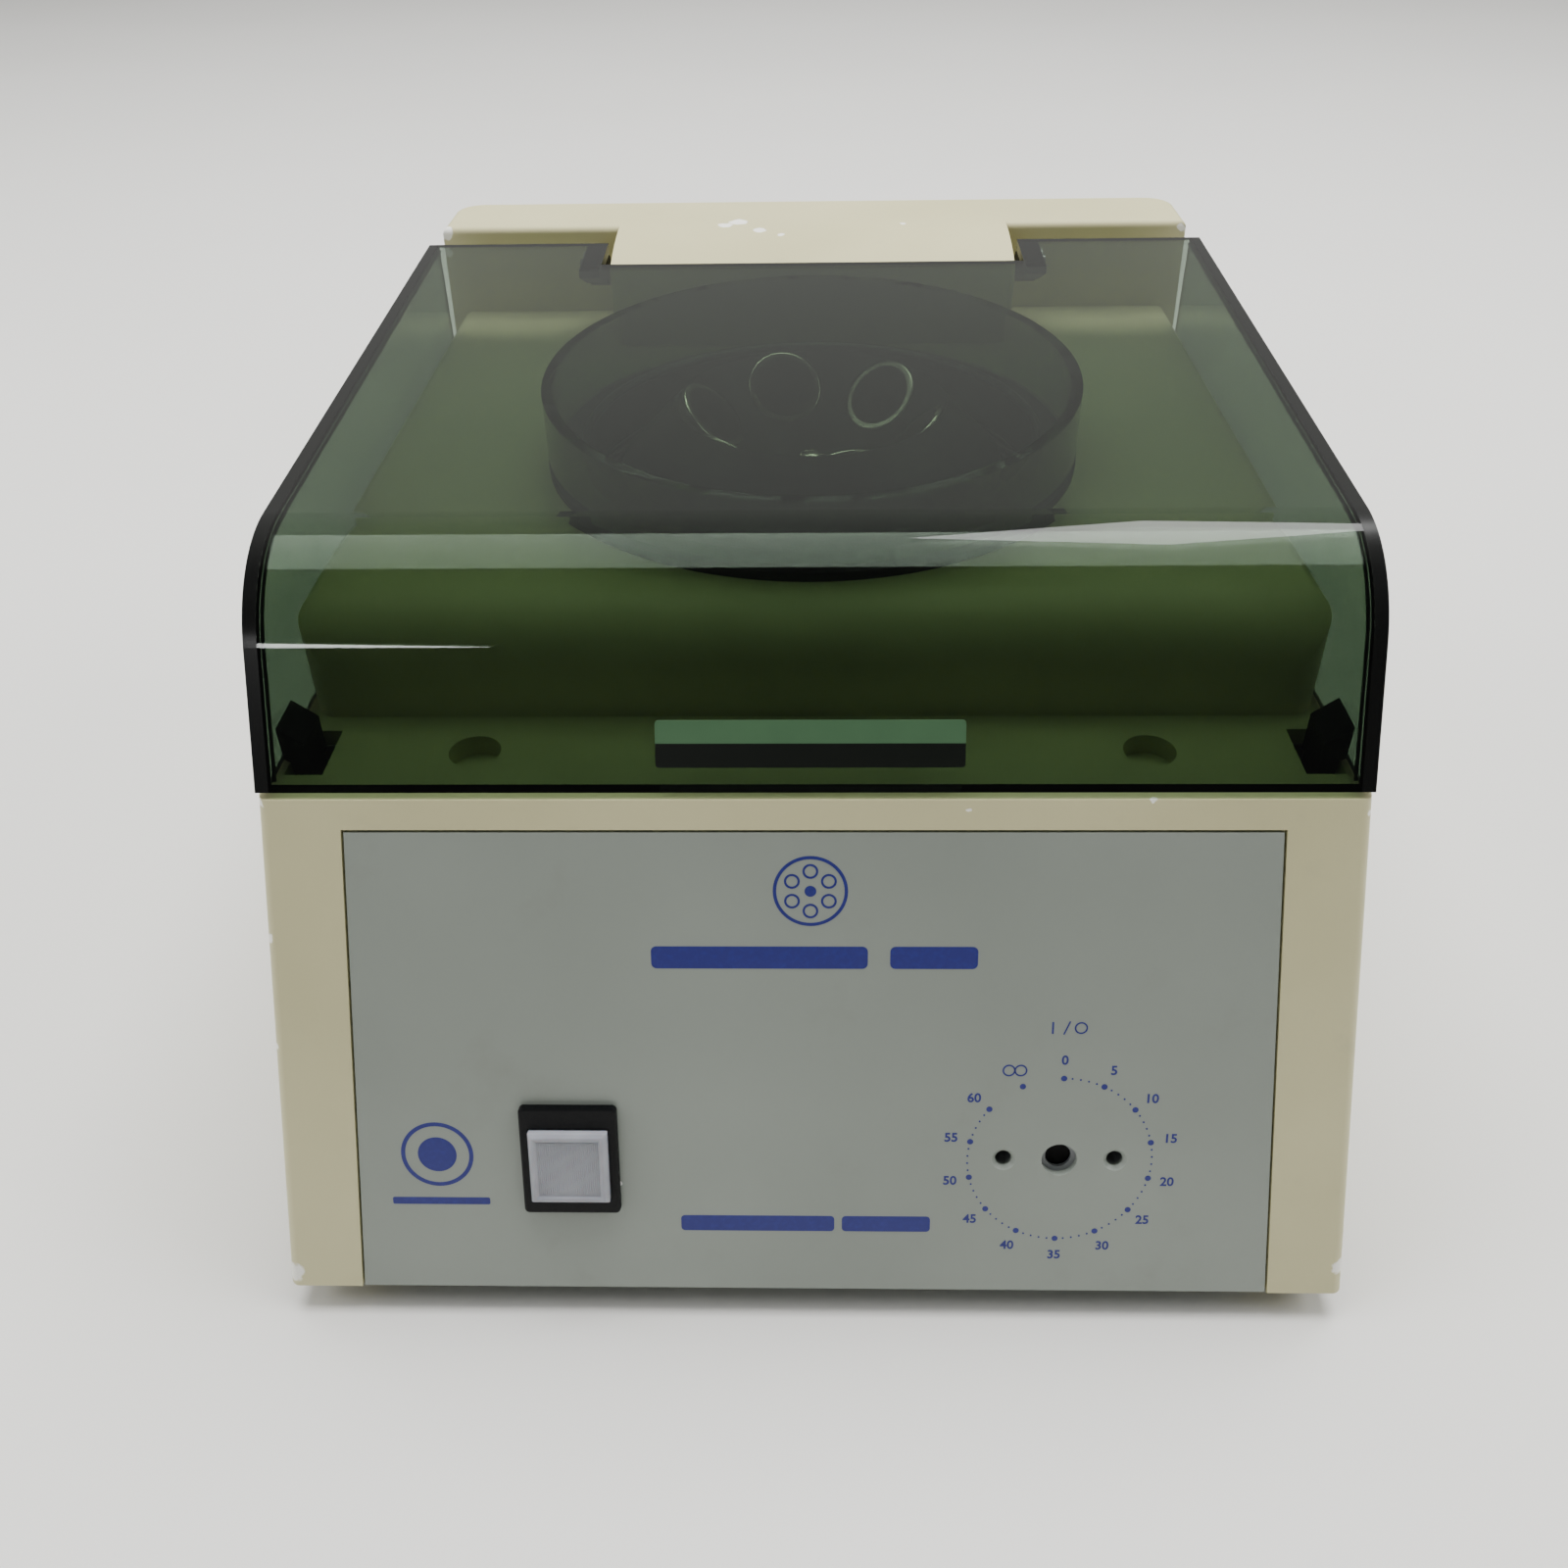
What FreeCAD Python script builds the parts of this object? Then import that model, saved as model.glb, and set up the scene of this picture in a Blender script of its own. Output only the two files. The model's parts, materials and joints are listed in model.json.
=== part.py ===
import FreeCAD, Part
import math
import os

from FreeCAD import Placement, Rotation, Vector

# Bench centrifuge with a six-place angle head.  Millimetres.  +Z up, front towards -Y.
# Origin: middle of the footprint on the plane that the rubber feet stand on.

# ---- moulded housing ---------------------------------------------------------
LEDGE_WIDTH = 241.3          # housing width at the ledge that the lid sits over
RIM_WIDTH = 255.8            # housing width at the bottom rim
DEPTH_TOP = 257.0            # ledge front edge to rear wall
FRONT_LEAN = 19.6            # front face leans back by this angle, degrees
BODY_HEIGHT = 118.2          # bottom rim to ledge
WALL = 4.0
DECK_RISE = 27.0             # ledge to raised deck
DECK_SIDE_INSET = 4.2        # deck side wall inside the ledge edge
DECK_SETBACK = 32.0          # ledge front edge to deck front wall
DECK_FRONT_RADIUS = 13.0
DECK_CORNER_RADIUS = 5.0
HUMP_RISE = 56.0             # ledge to the top of the rear hump
HUMP_DEPTH = 29.0
HUMP_DRAFT = 1.2             # hump narrows by this much on each side
REAR_CORNER_RADIUS = 9.0
FRONT_CORNER_RADIUS = 2.5
DECK_EDGE_RADIUS = 3.0
BOSS_SIZE = 16.0             # foot screw bosses, square
BOSS_HEIGHT = 26.0
HINGE_BLOCK_WIDTH = 124.0
HINGE_BLOCK_REACH = 32.0     # forward of the hump face
HINGE_BLOCK_DROP = 5.0       # its top falls by this much towards the front
BLOCK_EDGE_RADIUS = 2.0
RECESS_RADIUS = 5.9          # round blind recesses in the front ledge
RECESS_DEPTH = 5.0
RECESS_X = 76.0
RECESS_Y = 18.3              # from the ledge front edge
RECESS_WALL = 3.0
BOWL_HOLE_GAP = 0.7          # bowl to the hole in the deck

# ---- front panel -------------------------------------------------------------
PANEL_THICKNESS = 2.0
PANEL_TOP_MARGIN = 6.9       # ledge edge to panel, down the slope
PANEL_SIDE_MARGIN = 17.8     # housing side to panel edge
PANEL_GAP = 0.6
PANEL_LIP = 6.0              # rebate that the panel beds on
PANEL_FLANGE = 14.0          # bottom return under the base plate
DIAL_X = 58.1
SWITCH_X = -56.7
CONTROL_DROP = 88.9          # ledge edge to control centres, down the slope
TIMER_HOLE_RADIUS = 4.15
TIMER_SCREW_SPACING = 26.0
TIMER_SCREW_RADIUS = 1.9
TIMER_COUNTERSINK_RADIUS = 2.8
PANEL_SCREW_X = 60.0
SMALL_SCREW_RADIUS = 1.5
INLET_SCREW_HOLE = 1.6

# ---- base, feet --------------------------------------------------------------
FOOT_STAND = 8.0             # housing rim above the bench
FOOT_RADIUS = 10.0
FOOT_X = 105.0
FOOT_FRONT_SETBACK = 27.5    # rim front edge to foot centres
FOOT_REAR_SETBACK = 21.5
PLATE_THICKNESS = 1.5
PLATE_INSET = 3.0            # base plate above the rim
PLATE_GAP = 0.8
FOOT_SCREW_RADIUS = 2.0
SCREW_GAP = 0.05             # screw shank to its hole

# ---- rotor and chamber -------------------------------------------------------
ROTOR_SETBACK = 117.0        # ledge front edge to rotor axis
TUBE_COUNT = 6
TUBE_ANGLE = 45.0            # tube axis from the vertical
TUBE_PHASE = -14.0           # plan angle of the first tube from +X
MOUTH_PITCH_RADIUS = 27.0
MOUTH_HEIGHT = 34.0          # mouth centres above the ledge
SHIELD_RADIUS = 9.5
SHIELD_WALL = 0.8
SHIELD_LENGTH = 95.0
SHIELD_LIP_RADIUS = 10.3
SHIELD_LIP_THICKNESS = 1.2
SEAT_GAP = 0.4               # shield lip to its spot face in the head
CUSHION_DROP = 0.5           # cushion top below the end of the straight bore
CUSHION_GAP = 0.02
HEAD_THICKNESS = 22.0
HEAD_HUB_RADIUS = 14.0
HEAD_HUB_DEPTH = 22.0        # hub underside below the ledge
HEAD_SEAT_RISE = 16.0        # nut seat above the ledge
HEAD_SEAT_RADIUS = 11.0
SHAFT_RADIUS = 4.0
NUT_RADIUS = 6.5
NUT_HEIGHT = 6.0
BOWL_NECK_RADIUS = 59.0
BOWL_RIM_RISE = 33.0
BOWL_CLEARANCE = 4.1         # swinging shields to the bowl's cone, level
BOWL_RADIUS = 101.0
BOWL_FLOOR_DROP = 50.0       # bowl floor below the ledge
BOWL_CORNER_RADIUS = 8.0
BOWL_SHEET = 1.2
BOWL_FLANGE_RADIUS = 66.0
BOWL_HOLE_RADIUS = 13.0
GASKET_RADIUS = 70.0
GASKET_HEIGHT = 3.8
BOOT_RADIUS = 18.0

# ---- lid ---------------------------------------------------------------------
LID_SHEET = 3.0
LID_GAP = 1.6                # ledge to the lid's bottom edge
LID_SETBACK = 0.5
LID_FRONT_LEAN = 26.0
LID_FRONT_STRAIGHT = 31.5
LID_BEND_RADIUS = 32.0
LID_TOP_SLOPE = 2.35
LID_DEPTH = 214.0            # ledge front edge to the lid's rear edge
NOTCH_WIDTH = 128.0
NOTCH_DEPTH = 19.0
GUARD_RADIUS = 69.85
GUARD_GAP = 0.5              # guard ring above the gasket
LABEL_WIDTH = 66.4
LABEL_HEIGHT = 10.3
LABEL_THICKNESS = 0.4
LABEL_CENTRE = 10.7          # up the lid's front from its bottom edge
HINGE_Y = 216.0              # from the ledge front edge
HINGE_RISE = 45.0
HINGE_ROD_RADIUS = 2.5
HINGE_RUN = 0.05
LUG_WIDTH = 6.0
LUG_RADIUS = 5.5
LUG_GAP = 2.6                # hinge block side to lug
HOOK_THICKNESS = 5.4
HOOK_FRONT = 13.0
HOOK_REAR = 24.5
HOOK_RISE = 10.0
HOOK_REACH = 10.0            # hook below the ledge
SLOT_FRONT = 9.5
SLOT_REAR = 26.5
SLOT_INNER_X = 108.4

# ---- motor -------------------------------------------------------------------
MOTOR_RADIUS = 44.0
STATOR_LENGTH = 18.0
STATOR_BORE = 22.6
AIR_GAP = 0.4
SHAFT_RUN = 0.04
BEARING_RADIUS = 11.0
BEARING_WIDTH = 7.0
BELL_DEPTH = 7.0
BELL_WALL = 3.0
FAN_RADIUS = 38.0
FAN_HEIGHT = 8.0
FAN_BLADES = 9
FAN_GAP = 1.0
FAN_FLOOR_GAP = 2.5
ISOLATOR_RADIUS = 7.0
ISOLATOR_HEIGHT = 4.0
ISOLATOR_PITCH = 27.0        # half spacing of the four isolators
BRACKET_SHEET = 2.0
BRACKET_HALF_WIDTH = 62.0
BRACKET_HALF_DEPTH = 40.0
BRACKET_FOOT = 16.0

# ---- switch, timer, rear fittings --------------------------------------------
BEZEL_WIDTH = 22.9
BEZEL_HEIGHT = 28.2
BEZEL_THICKNESS = 2.0
SWITCH_BODY_WIDTH = 20.6
SWITCH_BODY_HEIGHT = 24.0
SWITCH_BODY_DEPTH = 24.0
CAP_SIZE = 18.6
CAP_RUN = 0.2
CAP_PROUD = 4.2
CAP_DEPTH = 8.0
CAP_DROP = 0.8
CAP_TRAVEL = 2.0
SPRING_RADIUS = 4.2
SPRING_WIRE = 0.5
CAP_WALL = 1.5
CAP_FACE = 2.0
CAP_STEM_RADIUS = 3.0
CAP_EDGE = 1.3               # chamfer round the cap's face
WELL_DEPTH = 8.0             # switch body behind the cap
TIMER_SIZE = 38.0
TIMER_DEPTH = 26.0
TIMER_SHAFT_RADIUS = 3.0
TIMER_SHAFT_RECESS = 1.0     # shaft end behind the panel's back
INLET_X = -70.0
INLET_DROP = 76.0            # below the ledge
INLET_WIDTH = 48.0
INLET_HEIGHT = 24.0
INLET_CAVITY = (24.0, 16.0, 17.0)
INLET_WALL = 2.0
INLET_GAP = 0.2
INLET_BODY_DEPTH = 20.0
INLET_SCREW_SPACING = 40.0
FUSE_X = -30.0
FUSE_RADIUS = 6.0
FUSE_DEPTH = 30.0
FUSE_PROUD = 9.0             # fuse cap behind the rear wall
VENT_COUNT = 7
VENT_X = 50.0
VENT_WIDTH = 60.0
VENT_HEIGHT = 3.0
VENT_PITCH = 8.0
CAPACITOR_RADIUS = 15.0
CAPACITOR_LENGTH = 50.0
CAPACITOR_X = -92.0
CAPACITOR_SETBACK = 25.0     # behind the rotor axis
CLAMP_SHEET = 1.2
CLAMP_WIDTH = 12.0
BLOCK_X = 75.0               # terminal block
BLOCK_SETBACK = 62.0
BLOCK_LENGTH = 40.0
BLOCK_DEPTH = 18.0
BLOCK_WAYS = 4
PIN_SIZE = 2.0               # inlet pins
PIN_PLACES = ((-7.0, -1.5), (0.0, 2.5), (7.0, -1.5))

# ---- derived places ----------------------------------------------------------
LEAN = math.radians(FRONT_LEAN)
FRONT_RUN = BODY_HEIGHT * math.tan(LEAN)
DEPTH = DEPTH_TOP + FRONT_RUN + FUSE_PROUD
Z_RIM = FOOT_STAND
Z_LEDGE = Z_RIM + BODY_HEIGHT
Z_DECK = Z_LEDGE + DECK_RISE
Z_HUMP = Z_LEDGE + HUMP_RISE
Y_RIM = -DEPTH / 2
Y_LEDGE = Y_RIM + FRONT_RUN
Y_REAR = Y_LEDGE + DEPTH_TOP
Y_HUMP = Y_REAR - HUMP_DEPTH
Y_DECK = Y_LEDGE + DECK_SETBACK
Y_ROTOR = Y_LEDGE + ROTOR_SETBACK
X_LEDGE = LEDGE_WIDTH / 2
X_RIM = RIM_WIDTH / 2
X_DECK = X_LEDGE - DECK_SIDE_INSET
X_BLOCK = HINGE_BLOCK_WIDTH / 2
SLANT = BODY_HEIGHT / math.cos(LEAN)
Z_PLATE = Z_RIM + PLATE_INSET
Z_PLATE_TOP = Z_PLATE + PLATE_THICKNESS
SHIELD_MOUTH_Z = Z_LEDGE + MOUTH_HEIGHT
TILT = math.radians(TUBE_ANGLE)
CONE_SUM = MOUTH_PITCH_RADIUS + MOUTH_HEIGHT + SHIELD_RADIUS / math.cos(TILT) + BOWL_CLEARANCE
Z_BOWL_FLOOR = Z_LEDGE - BOWL_FLOOR_DROP
Z_GASKET_TOP = Z_DECK + GASKET_HEIGHT
Z_INLET = Z_LEDGE - INLET_DROP
Y_HINGE = Y_LEDGE + HINGE_Y
Z_HINGE = Z_LEDGE + HINGE_RISE
Z_FAN = Z_PLATE_TOP + FAN_FLOOR_GAP
Z_STATOR = Z_FAN + FAN_HEIGHT + FAN_GAP + BEARING_WIDTH + BELL_DEPTH
Z_STATOR_TOP = Z_STATOR + STATOR_LENGTH
Z_ISOLATOR = Z_STATOR_TOP + BELL_DEPTH
Z_BRACKET = Z_ISOLATOR + ISOLATOR_HEIGHT


# ---- helpers -----------------------------------------------------------------
def box(x0, x1, y0, y1, z0, z1):
    return Part.makeBox(x1 - x0, y1 - y0, z1 - z0, Vector(x0, y0, z0))


def cyl(radius, z0, z1, x=0.0, y=0.0):
    return Part.makeCylinder(radius, z1 - z0, Vector(x, y, z0))


def cyl_y(radius, y0, y1, x, z):
    return Part.makeCylinder(radius, y1 - y0, Vector(x, y0, z), Vector(0, 1, 0))


def cyl_x(radius, x0, x1, y, z):
    return Part.makeCylinder(radius, x1 - x0, Vector(x0, y, z), Vector(1, 0, 0))


def tube(outer, inner, z0, z1, x=0.0, y=0.0):
    return cyl(outer, z0, z1, x, y).cut(cyl(inner, z0, z1, x, y))


def polyhedron(lower, upper):
    """Solid between two matching outlines, both given anticlockwise from above."""
    low = [Vector(*p) for p in lower]
    high = [Vector(*p) for p in upper]
    outlines = [low[::-1], high]
    for i in range(len(low)):
        j = (i + 1) % len(low)
        outlines.append([low[i], low[j], high[j], high[i]])
    shell = Part.makeShell([Part.Face(Part.makePolygon(o + [o[0]])) for o in outlines])
    shell.sewShape()
    return Part.makeSolid(shell)


def frustum(rect_low, z_low, rect_high, z_high):
    """Rectangles are (x half width, y front, y rear)."""
    def corners(rect, z):
        x, y0, y1 = rect
        return [(-x, y0, z), (x, y0, z), (x, y1, z), (-x, y1, z)]
    return polyhedron(corners(rect_low, z_low), corners(rect_high, z_high))


def revolve(points, x=0.0, y=Y_ROTOR):
    """Turn a closed outline of (radius, height) about a vertical axis."""
    outline = [Vector(r, 0, z) for r, z in points]
    face = Part.Face(Part.makePolygon(outline + [outline[0]]))
    solid = face.revolve(Vector(0, 0, 0), Vector(0, 0, 1), 360)
    solid.translate(Vector(x, y, 0))
    return solid


def extrude_x(face, x0, x1):
    face.translate(Vector(x0, 0, 0))
    return face.extrude(Vector(x1 - x0, 0, 0))


def polygon_yz(points):
    outline = [Vector(0, y, z) for y, z in points]
    return Part.Face(Part.makePolygon(outline + [outline[0]]))


def round_edges(shape, radius, wanted):
    edges = [e for e in shape.Edges if wanted(e)]
    return shape.makeFillet(radius, edges)


def edge_middle(edge):
    first = edge.Vertexes[0].Point
    last = edge.Vertexes[-1].Point
    return (first + last) * 0.5


def is_along(edge, direction):
    if len(edge.Vertexes) < 2:
        return False
    line = edge.Vertexes[-1].Point - edge.Vertexes[0].Point
    return line.Length > 0 and abs(line.normalize().dot(direction)) > 0.9


def on_front(shape):
    """Move a shape from panel axes (x, up the slope, outwards) onto the front face."""
    turned = shape.copy()
    turn = Placement(Vector(0, Y_LEDGE, Z_LEDGE), Rotation(Vector(1, 0, 0), 90 - FRONT_LEAN))
    turned.Placement = turn.multiply(turned.Placement)
    return turned


def at_tube(shape, index):
    """Move a shape from tube axes (mouth at the origin, +Z out of the mouth) to its place."""
    placed = shape.copy()
    angle = TUBE_PHASE + 360.0 * index / TUBE_COUNT
    radial = Rotation(Vector(0, 0, 1), angle)
    lean = Rotation(Vector(0, 1, 0), -TUBE_ANGLE)
    mouth = Placement(Vector(MOUTH_PITCH_RADIUS, 0, 0), lean)
    head = Placement(Vector(0, Y_ROTOR, SHIELD_MOUTH_Z), radial)
    placed.Placement = head.multiply(mouth).multiply(placed.Placement)
    return placed


def feet_places():
    rows = (Y_RIM + FOOT_FRONT_SETBACK, Y_REAR - FOOT_REAR_SETBACK)
    return [(x, y) for x in (-FOOT_X, FOOT_X) for y in rows]


def isolator_places():
    return [(x, Y_ROTOR + y) for x in (-ISOLATOR_PITCH, ISOLATOR_PITCH)
            for y in (-ISOLATOR_PITCH, ISOLATOR_PITCH)]


def bracket_foot_places():
    x = BRACKET_HALF_WIDTH + BRACKET_FOOT / 2
    y = BRACKET_HALF_DEPTH / 2
    return [(sx * x, Y_ROTOR + sy * y) for sx in (-1, 1) for sy in (-1, 1)]


def screw(head_radius, head_height, shank_radius, length):
    """Pan-head screw: head from z = 0 down, shank from z = 0 up."""
    head = cyl(head_radius, -head_height, 0)
    head = round_edges(head, head_height * 0.4, lambda e: e.BoundBox.ZMax < -head_height * 0.9)
    drive = box(-head_radius * 0.6, head_radius * 0.6, -0.4, 0.4, -head_height, -head_height * 0.5)
    cross = box(-0.4, 0.4, -head_radius * 0.6, head_radius * 0.6, -head_height, -head_height * 0.5)
    return head.fuse(cyl(shank_radius, 0, length)).cut(drive).cut(cross).removeSplitter()


def place_all(shape, places, z, turn=0):
    copies = []
    for x, y in places:
        copy = shape.copy()
        copy.rotate(Vector(0, 0, 0), Vector(1, 0, 0), turn)
        copy.translate(Vector(x, y, z))
        copies.append(copy)
    return Part.makeCompound(copies)


# ---- chamber -----------------------------------------------------------------
def bowl_outline(sheet, rise):
    """Half section of the bowl, moved outwards by a sheet thickness."""
    cone = CONE_SUM + sheet * math.sqrt(2)
    neck = BOWL_NECK_RADIUS + sheet
    side = BOWL_RADIUS + sheet
    floor = Z_BOWL_FLOOR - sheet
    corner = BOWL_CORNER_RADIUS + sheet
    centre = (side - corner, floor + corner)
    turns = [math.radians(a) for a in (0, -30, -60, -90)]
    arc = [(centre[0] + corner * math.cos(a), centre[1] + corner * math.sin(a)) for a in turns]
    return ([(0, Z_LEDGE + rise), (neck, Z_LEDGE + rise), (neck, Z_LEDGE + cone - neck),
             (side, Z_LEDGE + cone - side)] + arc + [(0, floor)])


def make_chamber_bowl():
    bowl = revolve(bowl_outline(BOWL_SHEET, BOWL_RIM_RISE))
    bowl = bowl.cut(revolve(bowl_outline(0, BOWL_RIM_RISE + 1)))
    neck = BOWL_NECK_RADIUS + BOWL_SHEET / 2
    flange = tube(BOWL_FLANGE_RADIUS, neck, Z_DECK, Z_DECK + BOWL_SHEET, 0, Y_ROTOR)
    rim = Part.makeTorus(neck, BOWL_SHEET, Vector(0, Y_ROTOR, Z_LEDGE + BOWL_RIM_RISE))
    hole = cyl(BOWL_HOLE_RADIUS, Z_BOWL_FLOOR - 5, Z_BOWL_FLOOR + 5, 0, Y_ROTOR)
    return bowl.fuse([flange, rim]).cut(hole).removeSplitter()


def make_chamber_gasket():
    bed = Z_DECK + BOWL_SHEET
    inner = BOWL_NECK_RADIUS + BOWL_SHEET * 2
    step = BOWL_FLANGE_RADIUS + 0.3
    edge = 1.5
    return revolve([
        (inner, bed), (inner, Z_GASKET_TOP), (GASKET_RADIUS - edge, Z_GASKET_TOP),
        (GASKET_RADIUS, Z_GASKET_TOP - edge), (GASKET_RADIUS, Z_DECK), (step, Z_DECK), (step, bed)])


def make_shaft_boot():
    low = Z_BOWL_FLOOR
    slot = low - BOWL_SHEET
    waist = BOWL_HOLE_RADIUS - 0.2
    bore = SHAFT_RADIUS + 2.0
    lip = 2.0
    run = 0.05                   # boot to the bowl's sheet
    crown = low + 3 * lip
    return revolve([
        (bore, slot - lip), (BOOT_RADIUS, slot - lip), (BOOT_RADIUS, slot - run), (waist, slot - run),
        (waist, low + run), (BOOT_RADIUS, low + run), (BOOT_RADIUS - lip, low + lip),
        (bore + lip, crown), (bore, crown)])


# ---- housing -----------------------------------------------------------------
def housing_outer():
    body = frustum((X_RIM, Y_RIM, Y_REAR), Z_RIM, (X_LEDGE, Y_LEDGE, Y_REAR), Z_LEDGE)
    hump = frustum((X_LEDGE, Y_HUMP, Y_REAR), Z_LEDGE, (X_LEDGE - HUMP_DRAFT, Y_HUMP, Y_REAR), Z_HUMP)
    body = body.fuse(hump).removeSplitter()
    upright = Vector(0, 0, 1)
    body = round_edges(body, REAR_CORNER_RADIUS,
                       lambda e: is_along(e, upright) and edge_middle(e).y > Y_REAR - 1)
    slanted = Vector(0, math.sin(LEAN), math.cos(LEAN))
    body = round_edges(body, FRONT_CORNER_RADIUS, lambda e: is_along(e, slanted) and edge_middle(e).y < 0)
    body = round_edges(body, BLOCK_EDGE_RADIUS, lambda e: e.BoundBox.ZMin > Z_HUMP - 0.1)
    deck = box(-X_DECK, X_DECK, Y_DECK, Y_HUMP + WALL, Z_LEDGE - WALL / 2, Z_DECK)
    deck = round_edges(deck, DECK_CORNER_RADIUS,
                       lambda e: is_along(e, upright) and edge_middle(e).y < Y_DECK + 1)
    deck = round_edges(deck, DECK_EDGE_RADIUS,
                       lambda e: is_along(e, Vector(0, 1, 0)) and e.BoundBox.ZMin > Z_DECK - 0.1)
    nose = box(-X_DECK - 1, X_DECK + 1, Y_DECK - 1, Y_DECK + DECK_FRONT_RADIUS,
               Z_DECK - DECK_FRONT_RADIUS, Z_DECK + 1)
    nose = nose.cut(cyl_x(DECK_FRONT_RADIUS, -X_DECK - 2, X_DECK + 2,
                          Y_DECK + DECK_FRONT_RADIUS, Z_DECK - DECK_FRONT_RADIUS))
    return body.fuse([deck.cut(nose), hinge_block(0)]).removeSplitter()


def hinge_block(inset):
    """Cover over the hinge rod, forward of the hump; inset gives its hollow."""
    front = Y_HUMP - HINGE_BLOCK_REACH + inset
    rear = Y_HUMP + WALL
    top = Z_HUMP - inset
    start = Vector(0, front, top - HINGE_BLOCK_DROP)
    middle = Vector(0, Y_HUMP - HINGE_BLOCK_REACH / 2, top - HINGE_BLOCK_DROP * 0.25)
    end = Vector(0, Y_HUMP, top)
    low = Z_DECK - WALL
    corners = [end, Vector(0, rear, top), Vector(0, rear, low), Vector(0, front, low), start]
    curve = Part.Arc(start, middle, end).toShape()
    face = Part.Face(Part.Wire([curve] + Part.makePolygon(corners).Edges))
    block = extrude_x(face, -X_BLOCK + inset, X_BLOCK - inset)
    if inset:
        return block
    return round_edges(block, BLOCK_EDGE_RADIUS,
                       lambda e: is_along(e, Vector(0, 0, 1)) and edge_middle(e).y < front + 1)


def housing_hollow():
    front = WALL / math.cos(LEAN)
    low = (X_RIM - WALL, Y_RIM + front, Y_REAR - WALL)
    high = (X_LEDGE - WALL, Y_LEDGE + front - WALL * math.tan(LEAN), Y_REAR - WALL)
    body = frustum(low, Z_RIM, high, Z_LEDGE - WALL)
    half = X_DECK - WALL
    floor = Z_LEDGE - WALL * 2
    hump = box(-half, half, Y_HUMP + WALL, Y_REAR - WALL, floor, Z_HUMP - WALL)
    deck = box(-half, half, Y_DECK + WALL, Y_REAR - WALL, floor, Z_DECK - WALL)
    nose = box(-X_DECK, X_DECK, Y_DECK, Y_DECK + DECK_FRONT_RADIUS, Z_DECK - DECK_FRONT_RADIUS, Z_DECK)
    nose = nose.cut(cyl_x(DECK_FRONT_RADIUS - WALL, -X_DECK, X_DECK,
                          Y_DECK + DECK_FRONT_RADIUS, Z_DECK - DECK_FRONT_RADIUS))
    return body.fuse([hump, deck.cut(nose), hinge_block(WALL)])


def housing_bosses(outer):
    bosses = []
    half = BOSS_SIZE / 2
    for x, y in feet_places():
        side = 1 if x > 0 else -1
        x0, x1 = sorted((x - side * half, side * (X_RIM + 5)))
        bosses.append(box(x0, x1, y - half, y + half, Z_PLATE_TOP, Z_PLATE_TOP + BOSS_HEIGHT))
    for x in (-RECESS_X, RECESS_X):
        bosses.append(cyl(RECESS_RADIUS + RECESS_WALL, Z_LEDGE - RECESS_DEPTH - RECESS_WALL,
                          Z_LEDGE - WALL / 2, x, Y_LEDGE + RECESS_Y))
    return [boss.common(outer) for boss in bosses]


def panel_outline(inset, w0, w1):
    """Trapezoid of the front panel, in panel axes, shrunk by inset at its top and sides."""
    half_top = X_LEDGE - PANEL_SIDE_MARGIN - inset
    half_bottom = X_RIM - PANEL_SIDE_MARGIN - inset
    top = -PANEL_TOP_MARGIN - inset
    bottom = -SLANT - PANEL_THICKNESS * 2
    corners = [(-half_bottom, bottom), (half_bottom, bottom), (half_top, top), (-half_top, top)]
    low = [(x, v, w0) for x, v in corners]
    high = [(x, v, w1) for x, v in corners]
    return polyhedron(low, high)


def rear_cuts():
    """Openings in the rear wall: inlet, its screws, fuse holder and ventilation slots."""
    cuts = []
    z = Z_INLET
    front, rear = Y_REAR - WALL - 1, Y_REAR + 1
    half_width = INLET_CAVITY[0] / 2 + INLET_WALL + INLET_GAP
    half_height = INLET_CAVITY[1] / 2 + INLET_WALL + INLET_GAP
    cuts.append(box(INLET_X - half_width, INLET_X + half_width, front, rear,
                    z - half_height, z + half_height))
    for x in inlet_screw_places():
        cuts.append(cyl_y(INLET_SCREW_HOLE, front, rear, x, z))
    cuts.append(cyl_y(FUSE_RADIUS + 0.1, front, rear, FUSE_X, z))
    for i in range(VENT_COUNT):
        middle = z + (i - (VENT_COUNT - 1) / 2) * VENT_PITCH
        cuts.append(box(VENT_X - VENT_WIDTH / 2, VENT_X + VENT_WIDTH / 2, front, rear,
                        middle - VENT_HEIGHT / 2, middle + VENT_HEIGHT / 2))
    return cuts


def ledge_cuts():
    """Blind recesses and latch slots in the ledge."""
    cuts = []
    for x in (-RECESS_X, RECESS_X):
        cuts.append(cyl(RECESS_RADIUS, Z_LEDGE - RECESS_DEPTH, Z_LEDGE + 1, x, Y_LEDGE + RECESS_Y))
    for side in (-1, 1):
        x0, x1 = sorted((side * SLOT_INNER_X, side * (X_DECK + 0.6)))
        cuts.append(box(x0, x1, Y_LEDGE + SLOT_FRONT, Y_LEDGE + SLOT_REAR, Z_LEDGE - WALL - 1, Z_LEDGE + 1))
    return cuts


def whole_housing():
    outer = housing_outer()
    shell = outer.cut(housing_hollow()).fuse(housing_bosses(outer))
    cuts = [on_front(panel_outline(0, -PANEL_THICKNESS, 5)), on_front(panel_outline(PANEL_LIP, -3 * WALL, 5))]
    cuts.append(revolve(bowl_outline(BOWL_SHEET + BOWL_HOLE_GAP, DECK_RISE + 10)))
    for x, y in feet_places():
        cuts.append(cyl(FOOT_SCREW_RADIUS + SCREW_GAP, Z_PLATE, Z_PLATE_TOP + 20, x, y))
    cuts.append(cyl_x(HINGE_ROD_RADIUS + SCREW_GAP, -X_BLOCK - 1, X_BLOCK + 1, Y_HINGE, Z_HINGE))
    return shell.cut(cuts + rear_cuts() + ledge_cuts()).removeSplitter()


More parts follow.
